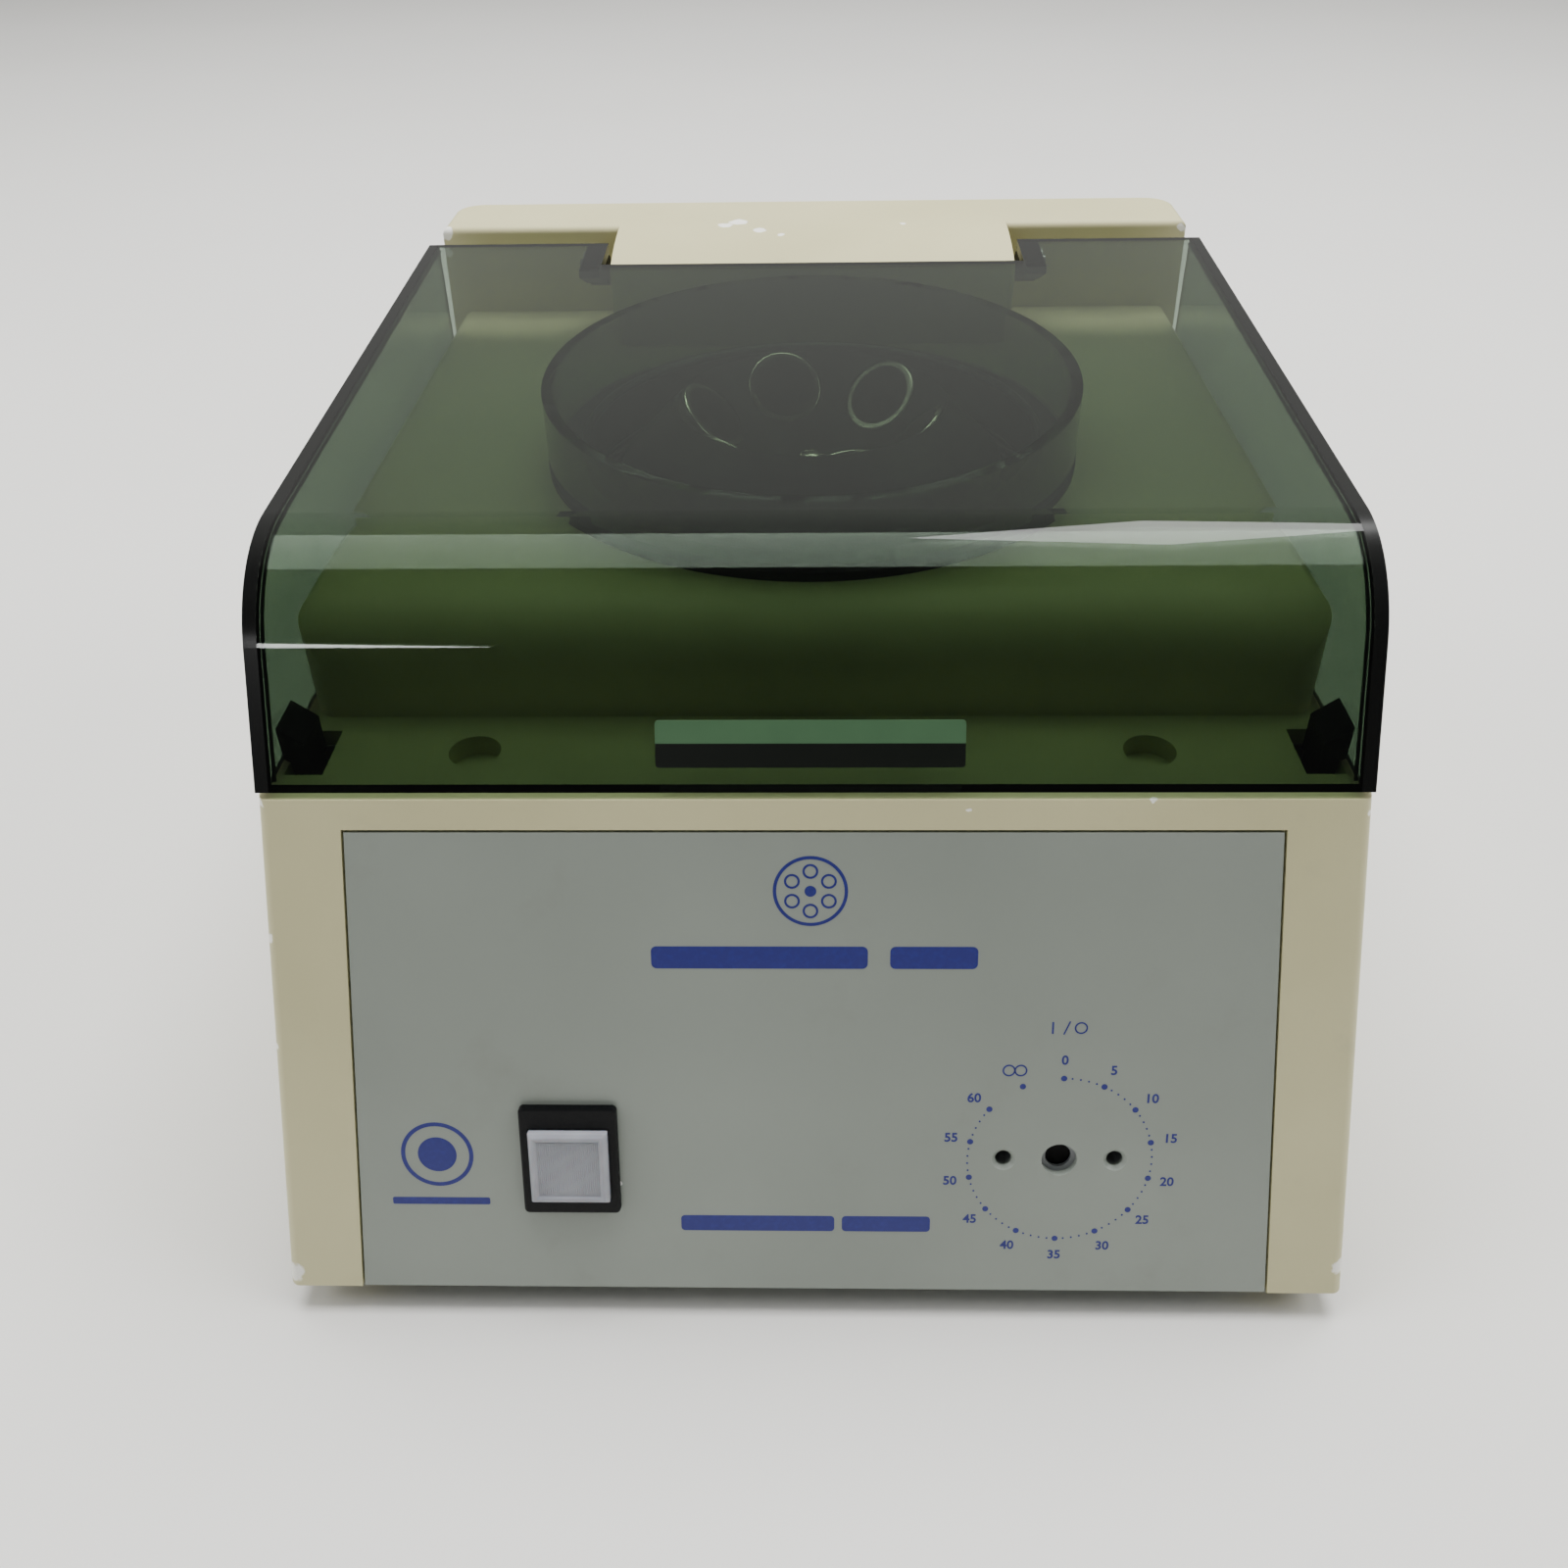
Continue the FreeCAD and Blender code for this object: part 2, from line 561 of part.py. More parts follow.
def housing_layer(whole, z_low, z_high):
    """The housing is bonded from three mouldings, parted level at the ledge and at the deck."""
    return whole.common(box(-X_RIM, X_RIM, Y_RIM, Y_REAR, z_low, z_high)).removeSplitter()


# ---- front panel and what it carries -----------------------------------------
def make_front_panel():
    sheet = on_front(panel_outline(PANEL_GAP, -PANEL_THICKNESS, 0))
    sheet = sheet.cut(box(-X_RIM, X_RIM, Y_RIM - 30, Y_REAR, Z_RIM - 30, Z_RIM + 0.3))
    half = X_RIM - PANEL_SIDE_MARGIN - PANEL_LIP - 2
    flange_front = Y_RIM + PANEL_THICKNESS / math.cos(LEAN)
    flange = box(-half, half, flange_front - 1, flange_front + PANEL_FLANGE,
                 Z_PLATE - PANEL_THICKNESS, Z_PLATE)
    sheet = sheet.fuse(flange)
    cuts = [on_front(cyl(TIMER_HOLE_RADIUS, -PANEL_THICKNESS - 1, 1, DIAL_X, -CONTROL_DROP))]
    for side in (-1, 1):
        x = DIAL_X + side * TIMER_SCREW_SPACING / 2
        cuts.append(on_front(cyl(TIMER_SCREW_RADIUS, -PANEL_THICKNESS - 1, 1, x, -CONTROL_DROP)))
        depth = TIMER_COUNTERSINK_RADIUS - TIMER_SCREW_RADIUS
        sink = Part.makeCone(TIMER_SCREW_RADIUS, TIMER_COUNTERSINK_RADIUS, depth,
                             Vector(x, -CONTROL_DROP, -depth))
        cuts.append(on_front(sink))
    width = SWITCH_BODY_WIDTH / 2 + 0.2
    height = SWITCH_BODY_HEIGHT / 2 + 0.2
    cuts.append(on_front(box(SWITCH_X - width, SWITCH_X + width,
                             -CONTROL_DROP - height, -CONTROL_DROP + height, -PANEL_THICKNESS - 1, 1)))
    for x in panel_screw_places():
        cuts.append(cyl(SMALL_SCREW_RADIUS + 0.1, Z_RIM, Z_PLATE + 1, x, panel_screw_y()))
    return sheet.cut(cuts).removeSplitter()


def panel_screw_places():
    return (-PANEL_SCREW_X, 0.0, PANEL_SCREW_X)


def panel_screw_y():
    return Y_RIM + PANEL_FLANGE * 0.7


def switch_pocket():
    """Square well that guides the cap, in panel axes."""
    half = CAP_SIZE / 2 + CAP_RUN
    middle = -CONTROL_DROP - CAP_DROP
    return box(SWITCH_X - half, SWITCH_X + half, middle - half, middle + half, -CAP_DEPTH - WELL_DEPTH, 10)


def make_switch_frame():
    bezel = box(SWITCH_X - BEZEL_WIDTH / 2, SWITCH_X + BEZEL_WIDTH / 2, -CONTROL_DROP - BEZEL_HEIGHT / 2,
                -CONTROL_DROP + BEZEL_HEIGHT / 2, 0, BEZEL_THICKNESS)
    bezel = round_edges(bezel, 1.2, lambda e: is_along(e, Vector(0, 0, 1)))
    bezel = round_edges(bezel, 0.6, lambda e: e.BoundBox.ZMin > BEZEL_THICKNESS - 0.1)
    half_width, half_height = SWITCH_BODY_WIDTH / 2, SWITCH_BODY_HEIGHT / 2
    body = box(SWITCH_X - half_width, SWITCH_X + half_width,
               -CONTROL_DROP - half_height, -CONTROL_DROP + half_height, -SWITCH_BODY_DEPTH, 0.1)
    terminals = [box(SWITCH_X + x - 0.4, SWITCH_X + x + 0.4, -CONTROL_DROP + v - 3, -CONTROL_DROP + v + 3,
                     -SWITCH_BODY_DEPTH - 8, -SWITCH_BODY_DEPTH + 1) for x in (-5, 5) for v in (-6, 6)]
    return on_front(bezel.fuse([body] + terminals).cut(switch_pocket()).removeSplitter())


def make_switch_cap():
    half = CAP_SIZE / 2
    middle = -CONTROL_DROP - CAP_DROP
    cap = box(SWITCH_X - half, SWITCH_X + half, middle - half, middle + half, -CAP_DEPTH, CAP_PROUD)
    cap = cap.makeChamfer(CAP_EDGE, [e for e in cap.Edges if e.BoundBox.ZMin > CAP_PROUD - 0.1])
    inner = half - CAP_WALL
    hollow = box(SWITCH_X - inner, SWITCH_X + inner, middle - inner, middle + inner,
                 -CAP_DEPTH - 1, CAP_PROUD - CAP_FACE)
    stem = cyl(CAP_STEM_RADIUS, -CAP_DEPTH - 2, CAP_PROUD - CAP_FACE / 2, SWITCH_X, middle)
    return on_front(cap.cut(hollow).fuse(stem).removeSplitter())


def make_switch_spring():
    """Coil spring round the cap's stem, as a plain sleeve."""
    middle = -CONTROL_DROP - CAP_DROP
    low = -CAP_DEPTH - WELL_DEPTH + 0.05
    high = CAP_PROUD - CAP_FACE - 0.05
    return on_front(tube(SPRING_RADIUS + SPRING_WIRE, SPRING_RADIUS - 0.8, low, high, SWITCH_X, middle))


def make_timer_body():
    back = -PANEL_THICKNESS - TIMER_DEPTH
    half = TIMER_SIZE / 2
    can = box(DIAL_X - half, DIAL_X + half, -CONTROL_DROP - half, -CONTROL_DROP + half,
              back, -PANEL_THICKNESS - 4)
    can = round_edges(can, 4.0, lambda e: is_along(e, Vector(0, 0, 1)))
    boss = cyl(8.0, back, -PANEL_THICKNESS - 0.05, DIAL_X, -CONTROL_DROP)
    screws_x = [DIAL_X + side * TIMER_SCREW_SPACING / 2 for side in (-1, 1)]
    posts = [cyl(4.5, back + 1, -PANEL_THICKNESS - 0.05, x, -CONTROL_DROP) for x in screws_x]
    bore = cyl(TIMER_SHAFT_RADIUS + SHAFT_RUN, back + 3, 5, DIAL_X, -CONTROL_DROP)
    sockets = [cyl(TIMER_SCREW_RADIUS + 0.3, -PANEL_THICKNESS - 20, 5, x, -CONTROL_DROP) for x in screws_x]
    tabs = [box(DIAL_X + x - 0.4, DIAL_X + x + 0.4, -CONTROL_DROP + half - 12, -CONTROL_DROP + half - 5.7,
                back - 8, back + 1) for x in (-10, 10)]
    return on_front(can.fuse([boss] + posts + tabs).cut([bore] + sockets).removeSplitter())


def make_timer_shaft():
    end = -PANEL_THICKNESS - TIMER_SHAFT_RECESS
    back = -PANEL_THICKNESS - TIMER_DEPTH + 3.3
    shaft = cyl(TIMER_SHAFT_RADIUS, back, end, DIAL_X, -CONTROL_DROP)
    flat = box(DIAL_X - 5, DIAL_X + 5, -CONTROL_DROP + TIMER_SHAFT_RADIUS - 1.0, -CONTROL_DROP + 5,
               end - 12, end + 1)
    return on_front(shaft.cut(flat))


# ---- base --------------------------------------------------------------------
def make_base_plate():
    inner = X_RIM - WALL - PLATE_GAP
    front = Y_RIM + (WALL + PLATE_GAP + PLATE_THICKNESS) / math.cos(LEAN)
    plate = box(-inner, inner, front, Y_REAR - WALL - PLATE_GAP, Z_PLATE, Z_PLATE_TOP)
    plate = round_edges(plate, REAR_CORNER_RADIUS - WALL + 1, lambda e: is_along(e, Vector(0, 0, 1)))
    low, high = Z_PLATE - 1, Z_PLATE_TOP + 1
    small = SMALL_SCREW_RADIUS + SCREW_GAP
    cuts = [cyl(FOOT_SCREW_RADIUS + SCREW_GAP, low, high, x, y) for x, y in feet_places()]
    cuts += [cyl(small, low, high, x, y) for x, y in bracket_foot_places()]
    cuts += [cyl(small, low, high, x, panel_screw_y()) for x in panel_screw_places()]
    for row in range(-4, 5):
        y = Y_ROTOR + row * 8.0
        cuts += [box(x - 16, x + 16, y - 2, y + 2, Z_PLATE - 1, Z_PLATE_TOP + 1) for x in (-22, 22)]
    return plate.cut(cuts)


def make_rubber_feet():
    foot = Part.makeCone(FOOT_RADIUS - 1.5, FOOT_RADIUS, Z_PLATE)
    foot = round_edges(foot, 1.0, lambda e: e.BoundBox.ZMax < 0.1)
    foot = foot.cut(cyl(4.6, -1, 5)).cut(cyl(FOOT_SCREW_RADIUS + SCREW_GAP, 0, Z_PLATE + 1))
    return place_all(foot, feet_places(), 0)


def make_foot_screws():
    return place_all(screw(3.9, 2.6, FOOT_SCREW_RADIUS, Z_PLATE_TOP + 14 - 5), feet_places(), 5)


def make_panel_screws():
    places = [(x, panel_screw_y()) for x in panel_screw_places()]
    return place_all(screw(2.8, 1.0, SMALL_SCREW_RADIUS, 6), places, Z_PLATE - PANEL_THICKNESS)


def make_bracket_screws():
    return place_all(screw(2.8, 2.0, SMALL_SCREW_RADIUS, 7), bracket_foot_places(), Z_PLATE)


# ---- motor -------------------------------------------------------------------
def make_motor_bracket():
    w, d, t = BRACKET_HALF_WIDTH, BRACKET_HALF_DEPTH, BRACKET_SHEET
    top = box(-w, w, Y_ROTOR - d, Y_ROTOR + d, Z_BRACKET, Z_BRACKET + t)
    pieces = []
    for side in (-1, 1):
        x0, x1 = sorted((side * w, side * (w - t)))
        pieces.append(box(x0, x1, Y_ROTOR - d, Y_ROTOR + d, Z_PLATE_TOP, Z_BRACKET + t))
        x0, x1 = sorted((side * (w - t), side * (w + BRACKET_FOOT)))
        pieces.append(box(x0, x1, Y_ROTOR - d, Y_ROTOR + d, Z_PLATE_TOP, Z_PLATE_TOP + t))
    cuts = [cyl(20, Z_BRACKET - 1, Z_BRACKET + t + 1, 0, Y_ROTOR)]
    cuts += [cyl(FOOT_SCREW_RADIUS + SCREW_GAP, Z_BRACKET - 1, Z_BRACKET + t + 1, x, y)
             for x, y in isolator_places()]
    cuts += [cyl(SMALL_SCREW_RADIUS + SCREW_GAP, Z_PLATE, Z_PLATE_TOP + t + 1, x, y)
             for x, y in bracket_foot_places()]
    cuts.append(cyl_x(14, -w - 1, w + 1, Y_ROTOR, Z_STATOR + STATOR_LENGTH / 2))
    return top.fuse(pieces).cut(cuts).removeSplitter()


def make_motor_isolators():
    ring = tube(ISOLATOR_RADIUS, FOOT_SCREW_RADIUS + SCREW_GAP, 0, ISOLATOR_HEIGHT)
    return place_all(ring, isolator_places(), Z_ISOLATOR)


def make_isolator_screws():
    return place_all(screw(3.6, 2.4, FOOT_SCREW_RADIUS, BRACKET_SHEET + ISOLATOR_HEIGHT + BELL_WALL - 0.5),
                     isolator_places(), Z_BRACKET + BRACKET_SHEET, 180)


def bell_cup(z_open, direction):
    """End bell: an open cup against the stator, with a bearing boss on the far side."""
    z_back = z_open + direction * BELL_DEPTH
    z_boss = z_back + direction * BEARING_WIDTH
    cup = cyl(MOTOR_RADIUS, min(z_open, z_back), max(z_open, z_back), 0, Y_ROTOR)
    z_floor = z_back - direction * BELL_WALL
    cup = cup.cut(cyl(MOTOR_RADIUS - BELL_WALL, min(z_open, z_floor), max(z_open, z_floor), 0, Y_ROTOR))
    cup = cup.fuse(cyl(BEARING_RADIUS + 3, min(z_floor, z_boss), max(z_floor, z_boss), 0, Y_ROTOR))
    pocket = cyl(BEARING_RADIUS, min(z_back, z_boss), max(z_back, z_boss), 0, Y_ROTOR)
    bore = cyl(SHAFT_RADIUS + 1.5, min(z_open, z_boss), max(z_open, z_boss), 0, Y_ROTOR)
    vents = []
    for i in range(8):
        angle = math.radians(22.5 + 45 * i)
        x = (MOTOR_RADIUS - 5) * math.cos(angle)
        y = Y_ROTOR + (MOTOR_RADIUS - 5) * math.sin(angle)
        vents.append(cyl(3.2, min(z_open, z_back), max(z_open, z_back), x, y))
    return cup.cut([pocket, bore] + vents)


def make_motor_upper_bell():
    bell = bell_cup(Z_STATOR_TOP, 1)
    return bell.cut([cyl(FOOT_SCREW_RADIUS + SCREW_GAP, Z_STATOR_TOP, Z_ISOLATOR + 1, x, y)
                     for x, y in isolator_places()]).removeSplitter()


def make_motor_lower_bell():
    return bell_cup(Z_STATOR, -1).removeSplitter()


def make_bearing(z_low):
    race = tube(BEARING_RADIUS - 0.02, SHAFT_RADIUS + SHAFT_RUN, z_low, z_low + BEARING_WIDTH, 0, Y_ROTOR)
    grooves = [tube(BEARING_RADIUS - 3, SHAFT_RADIUS + 1.6, z, z + 0.5, 0, Y_ROTOR)
               for z in (z_low - 0.1, z_low + BEARING_WIDTH - 0.4)]
    return race.cut(grooves)


def make_motor_stator():
    core = cyl(MOTOR_RADIUS, Z_STATOR, Z_STATOR_TOP, 0, Y_ROTOR)
    return core.cut(cyl(STATOR_BORE, Z_STATOR - 1, Z_STATOR_TOP + 1, 0, Y_ROTOR))


def make_motor_windings():
    inner, outer, height = STATOR_BORE + 2, MOTOR_RADIUS - BELL_WALL - 3, BELL_DEPTH - BELL_WALL - 0.3
    rings = []
    for z in (Z_STATOR - height, Z_STATOR_TOP):
        ring = tube(outer, inner, z, z + height, 0, Y_ROTOR)
        rings.append(ring)
    return Part.makeCompound(rings)


def make_motor_rotor_core():
    core = cyl(STATOR_BORE - AIR_GAP, Z_STATOR, Z_STATOR_TOP, 0, Y_ROTOR)
    return core.cut(cyl(SHAFT_RADIUS, Z_STATOR - 1, Z_STATOR_TOP + 1, 0, Y_ROTOR))


def make_motor_shaft():
    top = Z_LEDGE + HEAD_SEAT_RISE + NUT_HEIGHT - 1
    shaft = cyl(SHAFT_RADIUS, Z_FAN - 1, top, 0, Y_ROTOR)
    return shaft.makeChamfer(0.8, [e for e in shaft.Edges if len(e.Vertexes) == 1])


def make_cooling_fan():
    hub = cyl(9, Z_FAN, Z_FAN + FAN_HEIGHT, 0, Y_ROTOR)
    disc = cyl(FAN_RADIUS, Z_FAN + FAN_HEIGHT - 1.2, Z_FAN + FAN_HEIGHT, 0, Y_ROTOR)
    blades = []
    for i in range(FAN_BLADES):
        blade = box(8, FAN_RADIUS, -0.7, 0.7, Z_FAN, Z_FAN + FAN_HEIGHT - 0.6)
        blade.rotate(Vector(0, 0, 0), Vector(0, 0, 1), 360.0 * i / FAN_BLADES)
        blade.translate(Vector(0, Y_ROTOR, 0))
        blades.append(blade)
    fan = hub.fuse([disc] + blades)
    return fan.cut(cyl(SHAFT_RADIUS, Z_FAN - 1, Z_FAN + FAN_HEIGHT + 1, 0, Y_ROTOR)).removeSplitter()


# ---- rotor -------------------------------------------------------------------
def head_outline():
    """Half section of the angle head: a dished body square to the tubes, on a hub."""
    lip = SHIELD_LIP_THICKNESS * math.sqrt(2)
    drop = MOUTH_HEIGHT - MOUTH_PITCH_RADIUS - lip           # height minus radius on the top face
    under = drop - HEAD_THICKNESS * math.sqrt(2)             # and on the underside
    side = CONE_SUM - BOWL_CLEARANCE + 1.6                   # height plus radius at the outer edge
    seat = HEAD_SEAT_RISE
    top_edge = ((side - drop) / 2, (side + drop) / 2)
    low_edge = ((side - under) / 2, (side + under) / 2)
    points = [
        (SHAFT_RADIUS, seat), (HEAD_SEAT_RADIUS, seat), (max(HEAD_SEAT_RADIUS, seat - drop) + 0.01, seat),
        top_edge, low_edge, (HEAD_HUB_RADIUS, HEAD_HUB_RADIUS + under),
        (HEAD_HUB_RADIUS, -HEAD_HUB_DEPTH), (SHAFT_RADIUS, -HEAD_HUB_DEPTH)]
    return [(r, Z_LEDGE + z) for r, z in points]


def make_rotor_head():
    head = revolve(head_outline())
    bore = cyl(SHIELD_RADIUS + SCREW_GAP, -HEAD_THICKNESS * 3, HEAD_THICKNESS)
    seat = cyl(SHIELD_LIP_RADIUS + SEAT_GAP, -SHIELD_LIP_THICKNESS, HEAD_THICKNESS)
    cuts = [at_tube(tool, i) for i in range(TUBE_COUNT) for tool in (bore, seat)]
    return head.cut(cuts).removeSplitter()


def shield_outline(radius):
    """Round-ended tube from its mouth at the origin down to its closed end."""
    straight = SHIELD_LENGTH - SHIELD_RADIUS
    barrel = cyl(radius, -straight, 0)
    return barrel.fuse(Part.makeSphere(radius, Vector(0, 0, -straight)))


def make_tube_shield():
    body = shield_outline(SHIELD_RADIUS)
    lip = cyl(SHIELD_LIP_RADIUS, -SHIELD_LIP_THICKNESS, 0)
    lip = round_edges(lip, SHIELD_LIP_THICKNESS * 0.45, lambda e: len(e.Vertexes) == 1)
    inner = shield_outline(SHIELD_RADIUS - SHIELD_WALL).fuse(cyl(SHIELD_RADIUS - SHIELD_WALL, -1, 2))
    return body.fuse(lip).cut(inner).removeSplitter()


def make_tube_cushion():
    """Rubber plug that fills the shield's round bottom, clear of the straight bore above it."""
    radius = SHIELD_RADIUS - SHIELD_WALL - CUSHION_GAP
    straight = SHIELD_LENGTH - SHIELD_RADIUS
    ball = Part.makeSphere(radius, Vector(0, 0, -straight))
    return ball.common(cyl(radius + 1, -straight - radius - 1, -straight - CUSHION_DROP))


def make_rotor_nut():
    low = Z_LEDGE + HEAD_SEAT_RISE
    seat = 1.2
    turns = [math.radians(60 * i) for i in range(6)]
    outline = [Vector(NUT_RADIUS * math.cos(a), NUT_RADIUS * math.sin(a), 0) for a in turns]
    outline = [corner + Vector(0, Y_ROTOR, low + seat) for corner in outline]
    nut = Part.Face(Part.makePolygon(outline + [outline[0]])).extrude(Vector(0, 0, NUT_HEIGHT - seat))
    dome = Part.makeSphere(NUT_RADIUS * 0.8, Vector(0, Y_ROTOR, low + NUT_HEIGHT - 1))
    dome = dome.common(cyl(NUT_RADIUS, low + 2, low + NUT_HEIGHT + NUT_RADIUS, 0, Y_ROTOR))
    washer = cyl(HEAD_SEAT_RADIUS - 2, low, low + seat, 0, Y_ROTOR)
    bore = cyl(SHAFT_RADIUS, low - 1, low + NUT_HEIGHT - 1, 0, Y_ROTOR)
    return nut.fuse([dome, washer]).cut(bore).removeSplitter()


# ---- lid ---------------------------------------------------------------------
def lid_points(inset):
    """Corners of the lid's side profile, moved inwards by inset."""
    lean = math.radians(LID_FRONT_LEAN)
    slope = math.radians(LID_TOP_SLOPE)
    foot = (Y_LEDGE + LID_SETBACK, Z_LEDGE + LID_GAP)
    up = (math.sin(lean), math.cos(lean))
    inward = (math.cos(lean), -math.sin(lean))
    bend = (foot[0] + up[0] * LID_FRONT_STRAIGHT, foot[1] + up[1] * LID_FRONT_STRAIGHT)
    centre = (bend[0] + inward[0] * LID_BEND_RADIUS, bend[1] + inward[1] * LID_BEND_RADIUS)
    radius = LID_BEND_RADIUS - inset
    start = (centre[0] - inward[0] * radius, centre[1] - inward[1] * radius)
    end = (centre[0] - math.sin(slope) * radius, centre[1] + math.cos(slope) * radius)
    half = (math.pi - lean + math.pi / 2 + slope) / 2
    middle = (centre[0] + math.cos(half) * radius, centre[1] + math.sin(half) * radius)
    rear_y = Y_LEDGE + LID_DEPTH
    rear = (rear_y, end[1] + (rear_y - end[0]) * math.tan(slope))
    first = (start[0] - (start[1] - foot[1]) * math.tan(lean), foot[1])
    return first, start, middle, end, rear


def lid_curve(inset):
    first, start, middle, end, rear = [Vector(0, y, z) for y, z in lid_points(inset)]
    return [Part.makeLine(first, start), Part.Arc(start, middle, end).toShape(), Part.makeLine(end, rear)]


def make_lid_sheet():
    outer = lid_curve(0)
    inner = lid_curve(LID_SHEET)
    foot = Part.makeLine(inner[0].Vertexes[0].Point, outer[0].Vertexes[0].Point)
    rear = Part.makeLine(outer[-1].Vertexes[-1].Point, inner[-1].Vertexes[-1].Point)
    face = Part.Face(Part.Wire(Part.__sortEdges__(outer + [rear] + inner + [foot])))
    half = X_LEDGE - LID_SHEET
    sheet = extrude_x(face, -half, half)
    rear_y = Y_LEDGE + LID_DEPTH
    notch = box(-NOTCH_WIDTH / 2, NOTCH_WIDTH / 2, rear_y - NOTCH_DEPTH, rear_y + 5, Z_DECK, Z_HUMP + 20)
    return sheet.cut(notch)


def make_lid_side(side):
    outer = lid_curve(0)
    low_rear = Vector(0, Y_LEDGE + LID_DEPTH, Z_LEDGE + LID_GAP)
    down = Part.makeLine(outer[-1].Vertexes[-1].Point, low_rear)
    back = Part.makeLine(low_rear, outer[0].Vertexes[0].Point)
    face = Part.Face(Part.Wire(Part.__sortEdges__(outer + [down, back])))
    x0, x1 = sorted((side * (X_LEDGE - LID_SHEET), side * X_LEDGE))
    return extrude_x(face, x0, x1)


def under_lid():
    """Space below the lid sheet, for trimming what is bonded to it."""
    inner = lid_curve(LID_SHEET)
    first = inner[0].Vertexes[0].Point
    rear = inner[-1].Vertexes[-1].Point
    low = Z_LEDGE - 60
    corners = [rear, Vector(0, rear.y, low), Vector(0, first.y, low), first]
    face = Part.Face(Part.Wire(Part.__sortEdges__(inner + Part.makePolygon(corners).Edges)))
    return extrude_x(face, -X_LEDGE, X_LEDGE)


def make_guard_ring():
    low = Z_GASKET_TOP + GUARD_GAP
    ring = tube(GUARD_RADIUS, GUARD_RADIUS - LID_SHEET, low, Z_HUMP + 10, 0, Y_ROTOR)
    return ring.common(under_lid())


def make_lid_label():
    lean = math.radians(LID_FRONT_LEAN)
    first = lid_points(0)[0]
    half_width, half_height = LABEL_WIDTH / 2, LABEL_HEIGHT / 2
    plate = box(-half_width, half_width, -half_height, half_height, 0, LABEL_THICKNESS)
    plate = round_edges(plate, 0.8, lambda e: is_along(e, Vector(0, 0, 1)))
    plate.rotate(Vector(0, 0, 0), Vector(1, 0, 0), 90 - LID_FRONT_LEAN)
    up = Vector(0, math.sin(lean), math.cos(lean))
    plate.translate(Vector(0, first[0], first[1]) + up * LABEL_CENTRE)
    return plate


def make_hinge_lugs():
    """Two lugs under the lid's rear corners, turning on the ends of the hinge rod."""
    lugs = []
    for side in (-1, 1):
        near = X_BLOCK + LUG_GAP
        x0, x1 = sorted((side * near, side * (near + LUG_WIDTH)))
        arm = box(x0, x1, Y_HINGE - 24, Y_HINGE - 2, Z_HINGE - 2, Z_HUMP + 10)
        arm = arm.cut(extrude_x(polygon_yz([(Y_HINGE - 30, Z_HINGE - 10), (Y_HINGE - 4, Z_HINGE - 10),
                                            (Y_HINGE - 5, Z_HINGE - 4), (Y_HINGE - 24, Z_HINGE + 4),
                                            (Y_HINGE - 30, Z_HINGE + 4)]), x0 - 1, x1 + 1))
        arm = arm.common(under_lid()).fuse(cyl_x(LUG_RADIUS, x0, x1, Y_HINGE, Z_HINGE))
        bore = cyl_x(HINGE_ROD_RADIUS + HINGE_RUN, x0 - 1, x1 + 1, Y_HINGE, Z_HINGE)
        lugs.append(arm.cut(bore).removeSplitter())
    return Part.makeCompound(lugs)


def rod_half_length():
    return X_BLOCK + LUG_GAP + LUG_WIDTH + 3.0


def make_hinge_rod():
    half = rod_half_length()
    return cyl_x(HINGE_ROD_RADIUS, -half, half, Y_HINGE, Z_HINGE)


def make_rod_clips():
    clips = []
    for side in (-1, 1):
        inner = rod_half_length() - 2.4
        x0, x1 = sorted((side * inner, side * (inner + 1.2)))
        clip = cyl_x(4.5, x0, x1, Y_HINGE, Z_HINGE)
        clips.append(clip.cut(cyl_x(HINGE_ROD_RADIUS, x0 - 1, x1 + 1, Y_HINGE, Z_HINGE)))
    return Part.makeCompound(clips)


def make_latch_hook(side):
    """Snap hook bonded inside the lid's side, dropping through the ledge slot."""
    face_x = X_LEDGE - LID_SHEET
    inner_x = face_x - HOOK_THICKNESS
    top = Z_LEDGE + HOOK_RISE
    low = Z_LEDGE - HOOK_REACH
    outline = [(face_x, top), (inner_x, top - HOOK_THICKNESS * 0.8), (inner_x, low + 3), (inner_x + 2, low),
               (face_x - 2.0, low), (face_x - 1.4, Z_LEDGE + LID_GAP / 2), (face_x, Z_LEDGE + LID_GAP)]
    corners = [Vector(side * x, Y_LEDGE + HOOK_FRONT, z) for x, z in outline]
    hook = Part.Face(Part.makePolygon(corners + [corners[0]])).extrude(Vector(0, HOOK_REAR - HOOK_FRONT, 0))
    notch = box(-X_LEDGE, X_LEDGE, Y_LEDGE + HOOK_REAR - 2.0, Y_LEDGE + HOOK_REAR + 1,
                low + 3, Z_LEDGE - WALL + 0.5)
    return hook.cut(notch)


def make_latch_strikers():
    """Steel strips under the ledge behind the slots, for the hooks' barbs."""
    strikers = []
    for side in (-1, 1):
        x0, x1 = sorted((side * SLOT_INNER_X, side * (X_DECK - 1)))
        top = Z_LEDGE - WALL
        strip = box(x0, x1, Y_LEDGE + SLOT_REAR - 0.5, Y_LEDGE + SLOT_REAR + 7, top - 1.5, top)
        strikers.append(strip)
    return Part.makeCompound(strikers)


# ---- rear fittings -----------------------------------------------------------
def inlet_screw_places():
    return (INLET_X - INLET_SCREW_SPACING / 2, INLET_X + INLET_SCREW_SPACING / 2)


